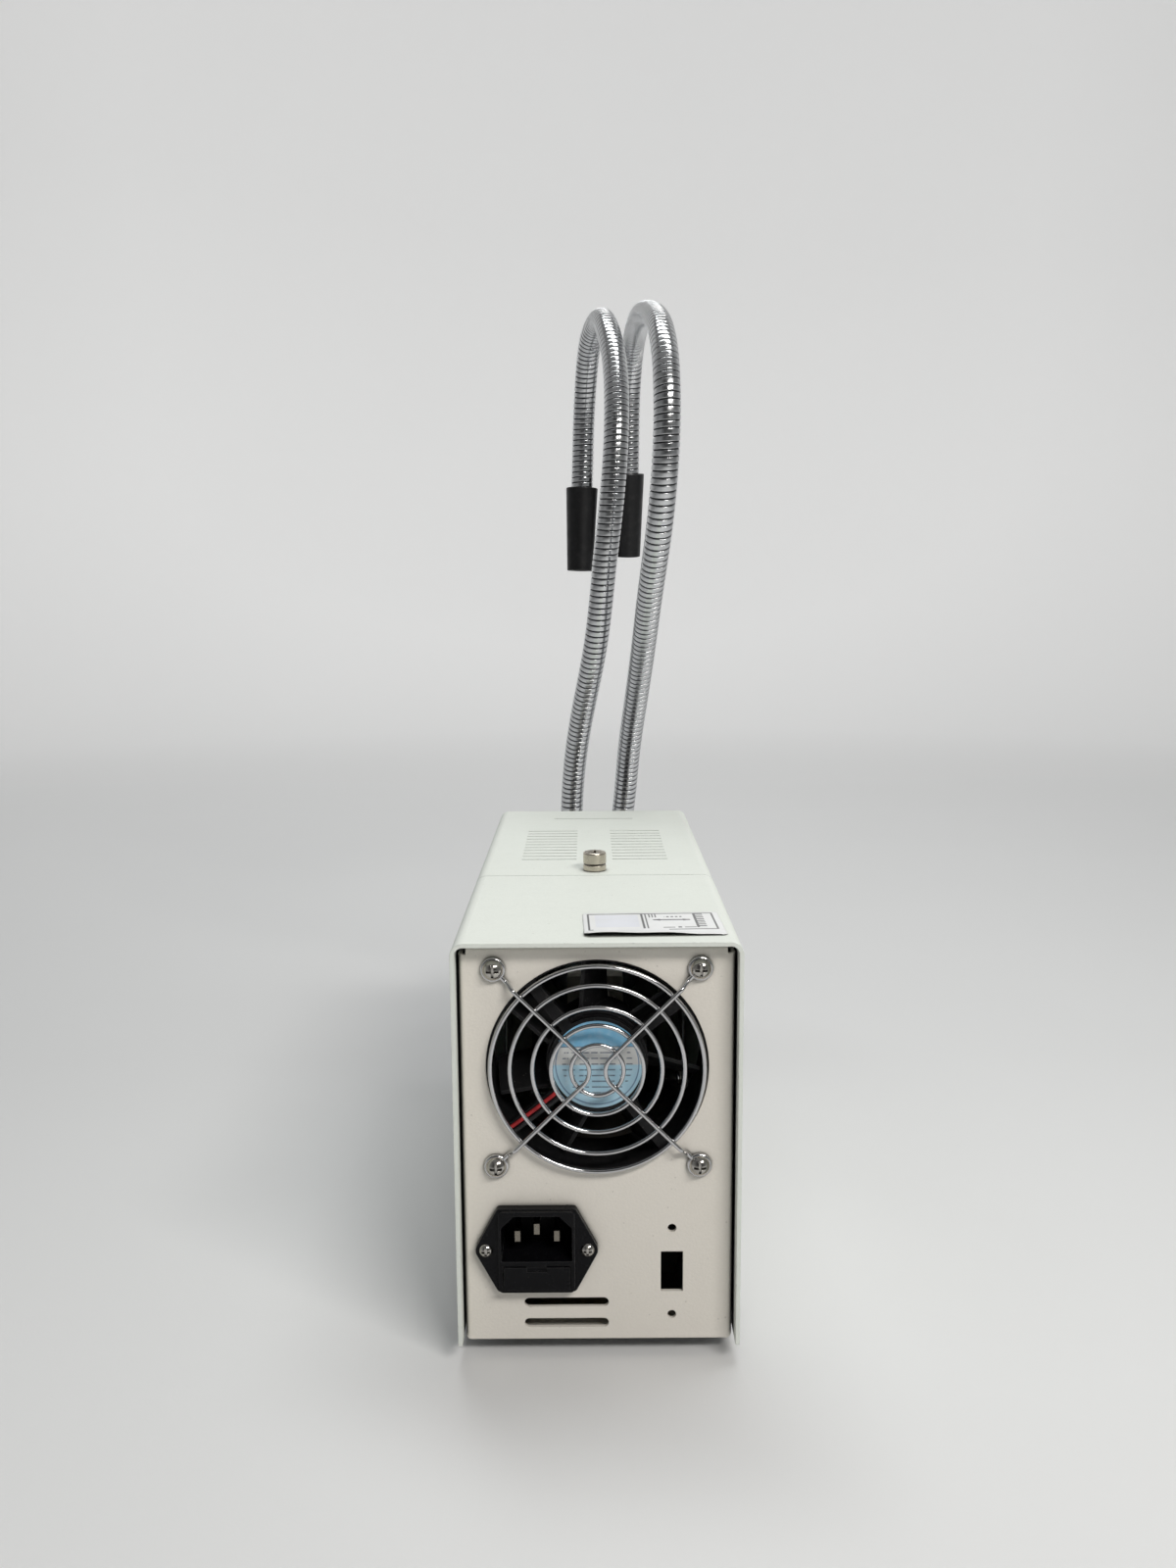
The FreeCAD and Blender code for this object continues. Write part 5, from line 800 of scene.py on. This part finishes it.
class ILLUMINATOR_OT_finishes(bpy.types.Operator):
    """Makes every finish and puts it on the packed pieces"""
    bl_idname = "illuminator.finishes"
    bl_label = "Finishes"

    def execute(self, context):
        scene = context.scene
        paint = scene.illuminator_paint
        fan = scene.illuminator_fan
        powder_paint("case_paint", paint.cover, paint.peel)
        # Painted shade: the panels' warmer colour stands for the warm shade on the rear panel.
        powder_paint("panel_paint", paint.panel, paint.peel)
        # The zinc is darker than plating is, so the pan seen through the slots looks dark: partly the plating's grey,
        # partly painted shade inside the case.
        bright_metal("zinc_steel", (0.36, 0.37, 0.37), 0.34, (1.0, 0.08, 1.0))
        bright_metal("nickel", (0.48, 0.46, 0.43), 0.1, worn=0.35)
        bright_metal("thumb_nickel", (0.56, 0.51, 0.43), 0.22, (0.2, 0.2, 1.0))
        bright_metal("guard_chrome", (0.58, 0.58, 0.59), 0.07, worn=0.3)
        # The pins are made dark: painted shade of the deep socket they sit in.
        bright_metal("contact_metal", (0.22, 0.2, 0.17), 0.2)
        bright_metal("port_metal", (0.68, 0.69, 0.7), 0.26, (1.0, 6.0, 1.0))
        bright_metal("reflector_glass", (0.78, 0.8, 0.88), 0.12)
        bright_metal("board_metal", (0.6, 0.61, 0.62), 0.3)
        moulded("fan_plastic", (0.011, 0.011, 0.012), 0.4, dust=0.5, shine=0.2)
        moulded("inlet_plastic", (0.004, 0.004, 0.005), 0.2, dust=0.08, shine=0.12)
        moulded("control_plastic", (0.02, 0.02, 0.021), 0.38)
        moulded("capacitor_sleeve", (0.02, 0.025, 0.05), 0.3)
        moulded("terminal_green", (0.03, 0.2, 0.1), 0.4)
        moulded("ceramic", (0.76, 0.73, 0.65), 0.5, 0.5 * MM, 0.6)
        moulded("lead_sleeve", (0.7, 0.66, 0.57), 0.7, 0.5 * MM, 0.6)
        clear_glass("quartz", (0.93, 0.95, 0.95), 0.03, 0.95)
        clear_glass("filter_glass", (0.62, 0.85, 0.8), 0.04, 0.9)
        anodised("black_anodised", (0.008, 0.008, 0.009), 0.34)
        wire_sleeve("lead_red", fan.red)
        wire_sleeve("lead_black", fan.black)
        rubber()
        wound_steel(scene.illuminator_hose)
        label_film(fan)
        sticker_film(scene.illuminator_sticker)
        laminated_core()
        copper_winding()
        circuit_board()
        fibre_bundle()
        glass_fuse()
        for finish, names in NODE_FINISHES.items():
            for name in names:
                NODES[name].material_slots[0].material = FINISHES[finish]
        return {"FINISHED"}


class ILLUMINATOR_OT_hoses(bpy.types.Operator):
    """Winds both gooseneck hoses, each in a lower and an upper stretch"""
    bl_idname = "illuminator.hoses"
    bl_label = "Gooseneck hoses"

    def execute(self, context):
        hose = context.scene.illuminator_hose
        arms = (
            ("left", LEFT_ROUTE, 0.763),
            ("right", RIGHT_ROUTE, 0.795),
        )
        for name, plan, apex_share in arms:
            route = arm_route(plan)
            split = round((STRETCHES_MEET + IN_BLOCK) / hose.pitch)
            end = (route.length + IN_TIP + IN_BLOCK) / hose.pitch - 1
            end = math.floor(end * hose.sides) / hose.sides
            low = wound_hose(f"hose_{name}_low", route, 0.0, split, hose)
            high = wound_hose(f"hose_{name}_high", route, split, end, hose)
            foot = [Vector(p) for p in route.at(np.array(FOOT_BEND))[0]]
            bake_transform(low)
            apex = Vector(route.at(np.array([apex_share * route.length]))[0][0])
            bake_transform(high)
            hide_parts("gooseneck_roots", f"gooseneck_{name}_lower")
            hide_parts(f"gooseneck_{name}_lower", f"gooseneck_{name}_upper")
        return {"FINISHED"}


class ILLUMINATOR_OT_sticker(bpy.types.Operator):
    """Lays the printed sticker, whose near edge has come loose"""
    bl_idname = "illuminator.sticker"
    bl_label = "Sticker"

    def execute(self, context):
        sticker = context.scene.illuminator_sticker
        low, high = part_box("top_sticker")
        middle = (low + high) / 2
        rows, columns = 49, 73
        film = 0.12 * MM
        above_paint = 0.06 * MM
        ripple = 0.05 * MM
        corner = 1.6 * MM
        loose_share = 0.3
        v, u = np.meshgrid(np.linspace(0, 1, rows), np.linspace(0, 1, columns), indexing="ij")
        # Height is lift (1 - v / share) squared near the loose edge, waved along u, and a slight ripple elsewhere.
        loose = np.clip(1 - v / loose_share, 0, 1) ** 2
        wave = 0.75 + 0.3 * np.sin(u * 4.2 + 0.6) + 0.12 * np.sin(u * 13.0)
        fade = np.clip((1 - u) / 0.12, 0, 1) ** 0.5 * 0.7 + 0.3
        height = sticker.lift * loose * wave * fade + ripple * (1 + np.sin(u * 9.0) * np.sin(v * 7.0)) * 0.5
        x = (u - 0.5) * sticker.width
        y = (v - 0.5) * sticker.length
        # Corners: the outer rows and columns are drawn in along a quarter circle.
        into_corner = np.clip(corner - (sticker.length / 2 - np.abs(y)), 0, corner)
        inset = corner - np.sqrt(np.clip(corner ** 2 - into_corner ** 2, 0, None))
        x = x * (1 - inset / (sticker.width / 2))
        turn = sticker.turn
        points = np.stack([
            middle.x + x * math.cos(turn) - y * math.sin(turn),
            middle.y + x * math.sin(turn) + y * math.cos(turn),
            CASE_TOP + above_paint + height,
        ], axis=-1).reshape(-1, 3)
        piece = surface("printed_sticker", points, grid_faces(rows, columns), "sticker_film")
        layer = piece.data.uv_layers.new(name="print")
        corners = np.empty(len(piece.data.loops), dtype=np.int32)
        piece.data.loops.foreach_get("vertex_index", corners)
        uv = np.stack([u.ravel(), v.ravel()], axis=1)[corners]
        layer.uv.foreach_set("vector", uv.ravel().astype(np.float32))
        thick = piece.modifiers.new("Film", "SOLIDIFY")
        thick.thickness = film
        thick.offset = 1.0
        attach(piece, "case")
        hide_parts("top_sticker")
        return {"FINISHED"}


class ILLUMINATOR_OT_leads(bpy.types.Operator):
    """Lays the fan's red and black leads"""
    bl_idname = "illuminator.leads"
    bl_label = "Fan leads"

    def execute(self, context):
        radius = context.scene.illuminator_fan.lead_radius
        centre = Vector((0.0, REAR_Y, FAN_MIDDLE.z))
        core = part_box("transformer")[0].y + 7 * MM
        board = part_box("control_board")[0].y
        flat = 2.34 * MM
        apart = Vector((0.85 * MM, 0.0, -1.7 * MM))
        turns = (
            (-13.6 * MM, flat + 0.3 * MM, -9.4 * MM),
            (-17.5 * MM, flat - 0.2 * MM, -12.4 * MM),
            (-24.0 * MM, flat - 0.1 * MM, -17.6 * MM),
            (-32.4 * MM, flat + 0.1 * MM, -23.9 * MM),
            (-38.4 * MM, 3.9 * MM, -27.6 * MM),
            (-41.6 * MM, 12.0 * MM, -29.2 * MM),
            (-42.2 * MM, 24.0 * MM, -30.2 * MM),
            (-42.2 * MM, core - REAR_Y, -32.0 * MM),
            (-42.0 * MM, core - REAR_Y + 22 * MM, -43.0 * MM),
            (-42.0 * MM, board - REAR_Y - 9 * MM, -63.0 * MM),
            (-36.5 * MM, board - REAR_Y + 5 * MM, -74.0 * MM),
            (-30.8 * MM, board - REAR_Y + 11.6 * MM, BOARD_TOP - centre.z + 9 * MM),
            (-30.2 * MM, board - REAR_Y + 12 * MM, BOARD_TOP - centre.z + 0.2 * MM),
        )
        for index, name in enumerate(("red", "black")):
            shift = apart * index
            points = [tuple(centre + Vector(turn) + shift) for turn in turns]
            route = Route(points)
            lead = wire(f"fan_lead_{name}", route, route.run[0], route.run[-1], radius, f"lead_{name}")
            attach(lead, "case")
            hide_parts("fan_leads")
        return {"FINISHED"}


class ILLUMINATOR_OT_board_parts(bpy.types.Operator):
    """Parts the solids on the board, so that each gets its own finish"""
    bl_idname = "illuminator.board_parts"
    bl_label = "Board parts"

    def execute(self, context):
        source = NODES["board_parts"]
        whole = bpy.data.objects.new("board_part", source.data.copy())
        context.scene.collection.objects.link(whole)
        bpy.ops.object.select_all(action="DESELECT")
        whole.select_set(True)
        context.view_layer.objects.active = whole
        outward(whole)
        bpy.ops.object.mode_set(mode="EDIT")
        bpy.ops.mesh.customdata_custom_splitnormals_clear()
        bpy.ops.mesh.separate(type="LOOSE")
        bpy.ops.object.mode_set(mode="OBJECT")
        parts = sorted(context.selected_objects, key=lambda part: (round(part.dimensions.z, 5), part.bound_box[0][0]))
        if len(parts) != 4:
            raise RuntimeError(f"board_parts has {len(parts)} solids, not 4")
        names = ("terminal_block", "heat_sink", "capacitor_left", "capacitor_right")
        finishes = ("terminal_green", "board_metal", "capacitor_sleeve", "capacitor_sleeve")
        for part, name, finish in zip(parts, names, finishes):
            part.name = name
            part.data.name = name
            part.data.materials.clear()
            part.data.materials.append(FINISHES[finish])
            part.data.set_sharp_from_angle(angle=math.radians(30))
            part.data.polygons.foreach_set("use_smooth", np.full(len(part.data.polygons), True))
            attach(part, "case")
            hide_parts("board_parts")
        return {"FINISHED"}


class ILLUMINATOR_OT_stage(bpy.types.Operator):
    """Makes the floor, the lamps and the camera"""
    bl_idname = "illuminator.stage"
    bl_label = "Stage"

    def execute(self, context):
        stage = context.scene.illuminator_stage
        self.floor(stage)
        self.lamps(context.scene, stage)
        self.camera(context.scene)
        return {"FINISHED"}

    def floor(self, stage):
        """A round floor whose rim rises in a quarter circle to a wall: a profile (r, z) turned about Z."""
        paper = Finish("floor_paper", stage.floor, 0.62)
        paper.tint(paper.mottle(0.5), shade(stage.floor, 0.97), 0.6)
        paper.tint(paper.spread(paper.axis("Y"), -1.5, -2.3), (0.22, 0.22, 0.22))
        paper.relief(paper.mottle(1.2 * MM), 0.01 * MM)
        rays = paper.add("ShaderNodeLightPath").outputs
        seen = paper.math("ADD", rays["Is Camera Ray"], rays["Is Glossy Ray"], clamp=True)
        seen = paper.math("ADD", seen, rays["Is Transmission Ray"], clamp=True)
        behind = paper.math("MULTIPLY", paper.spread(paper.axis("Y"), 0.1, 2.3), stage.backdrop)
        paper.shader.inputs["Emission Color"].default_value = (1.0, 1.0, 0.99, 1.0)
        paper.links.new(paper.math("MULTIPLY", seen, behind), paper.shader.inputs["Emission Strength"])
        paper.done()
        bend = np.linspace(0.0, math.pi / 2, 17)
        radius = np.concatenate([[0.0, 0.3, 0.8, 1.4], 1.9 + 0.6 * np.sin(bend), [2.5, 2.5]])
        height = np.concatenate([[0.0, 0.0, 0.0, 0.0], 0.6 - 0.6 * np.cos(bend), [1.6, 2.8]])
        turn = np.linspace(0.0, 2 * math.pi, 97)
        points = np.stack([
            radius[:, None] * np.cos(turn),
            radius[:, None] * np.sin(turn),
            np.broadcast_to(height[:, None], (len(height), len(turn))),
        ], axis=-1).reshape(-1, 3)
        faces = [face[::-1] for face in grid_faces(len(radius), len(turn))]
        floor = surface("studio_floor", points, faces, "floor_paper")

    def lamps(self, scene, stage):
        """Strips of light overhead and behind the camera, and an even room light."""
        lamps = (
            ("lamp_ceiling", (0.1, 0.2, 1.35), (0.0, 0.05, 0.15), (1.1, 0.32), stage.ceiling, (0.98, 1.0, 0.99)),
            ("lamp_fill", (0.55, -1.0, 1.0), (0.0, -0.1, 0.12), (0.7, 0.2), stage.fill, (1.0, 0.97, 0.93)),
        )
        for name, place, aim, size, power, colour in lamps:
            light = bpy.data.lights.new(name, "AREA")
            light.shape = "RECTANGLE"
            light.size, light.size_y = size
            light.energy = power
            light.color = colour
            lamp = bpy.data.objects.new(name, light)
            lamp.location = place
            lamp.rotation_euler = (Vector(aim) - Vector(place)).to_track_quat("-Z", "Y").to_euler()
            scene.collection.objects.link(lamp)
        world = bpy.data.worlds.new("room")
        world.use_nodes = True
        room = world.node_tree.nodes["Background"]
        room.inputs["Color"].default_value = (1.0, 1.0, 1.0, 1.0)
        room.inputs["Strength"].default_value = stage.sky
        scene.world = world
        scene.view_settings.view_transform = "Standard"

    def camera(self, scene):
        """The photograph's camera: straight behind the case, looking down by 8.6 degrees."""
        yaw, pitch, roll = 0.000466, 0.1504049, -0.0067415
        place = (-0.002378, -0.61842, 0.27213)
        right = Vector((math.cos(yaw), math.sin(yaw), 0.0))
        level = Vector((-math.sin(yaw), math.cos(yaw), 0.0))
        look = level * math.cos(pitch) - Vector((0.0, 0.0, math.sin(pitch)))
        up = Vector((0.0, 0.0, math.cos(pitch))) + level * math.sin(pitch)
        across_view = right * math.cos(roll) + up * math.sin(roll)
        up_view = up * math.cos(roll) - right * math.sin(roll)
        turn = Matrix((across_view, up_view, -look)).transposed().to_4x4()
        lens = bpy.data.cameras.new("photograph")
        lens.sensor_width = 36.0
        lens.lens = 29.25
        lens.clip_start = 0.01
        camera = bpy.data.objects.new("photograph", lens)
        camera.matrix_world = Matrix.Translation(place) @ turn
        scene.collection.objects.link(camera)
        scene.camera = camera


class ILLUMINATOR_PT_panel(bpy.types.Panel):
    """Lists the sizes, the colours and the steps"""
    bl_idname = "ILLUMINATOR_PT_panel"
    bl_label = "Illuminator"
    bl_space_type = "VIEW_3D"
    bl_region_type = "UI"
    bl_category = "Illuminator"

    def draw(self, context):
        for name, group in SETTINGS.items():
            box = self.layout.box()
            box.label(text=group.__doc__)
            values = getattr(context.scene, name)
            for key in group.__annotations__:
                box.prop(values, key)
        for step in STEPS:
            self.layout.operator(step.bl_idname)


SETTINGS = {
    "illuminator_hose": IlluminatorHose,
    "illuminator_paint": IlluminatorPaint,
    "illuminator_fan": IlluminatorFan,
    "illuminator_sticker": IlluminatorSticker,
    "illuminator_stage": IlluminatorStage,
}
STEPS = (
    ILLUMINATOR_OT_stage,
    ILLUMINATOR_OT_finishes,
    ILLUMINATOR_OT_hoses,
    ILLUMINATOR_OT_sticker,
    ILLUMINATOR_OT_leads,
    ILLUMINATOR_OT_board_parts,
)


def register():
    for name, group in SETTINGS.items():
        bpy.utils.register_class(group)
        setattr(bpy.types.Scene, name, bpy.props.PointerProperty(type=group))
    for step in STEPS + (ILLUMINATOR_PT_panel,):
        bpy.utils.register_class(step)


def unregister():
    for step in reversed(STEPS + (ILLUMINATOR_PT_panel,)):
        bpy.utils.unregister_class(step)
    for name, group in SETTINGS.items():
        delattr(bpy.types.Scene, name)
        bpy.utils.unregister_class(group)


def main():
    """Runs every step."""
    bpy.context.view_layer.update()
    register()
    bpy.ops.illuminator.stage()
    bpy.ops.illuminator.finishes()
    bpy.ops.illuminator.hoses()
    bpy.ops.illuminator.sticker()
    bpy.ops.illuminator.leads()
    bpy.ops.illuminator.board_parts()


if __name__ == "__main__":
    main()
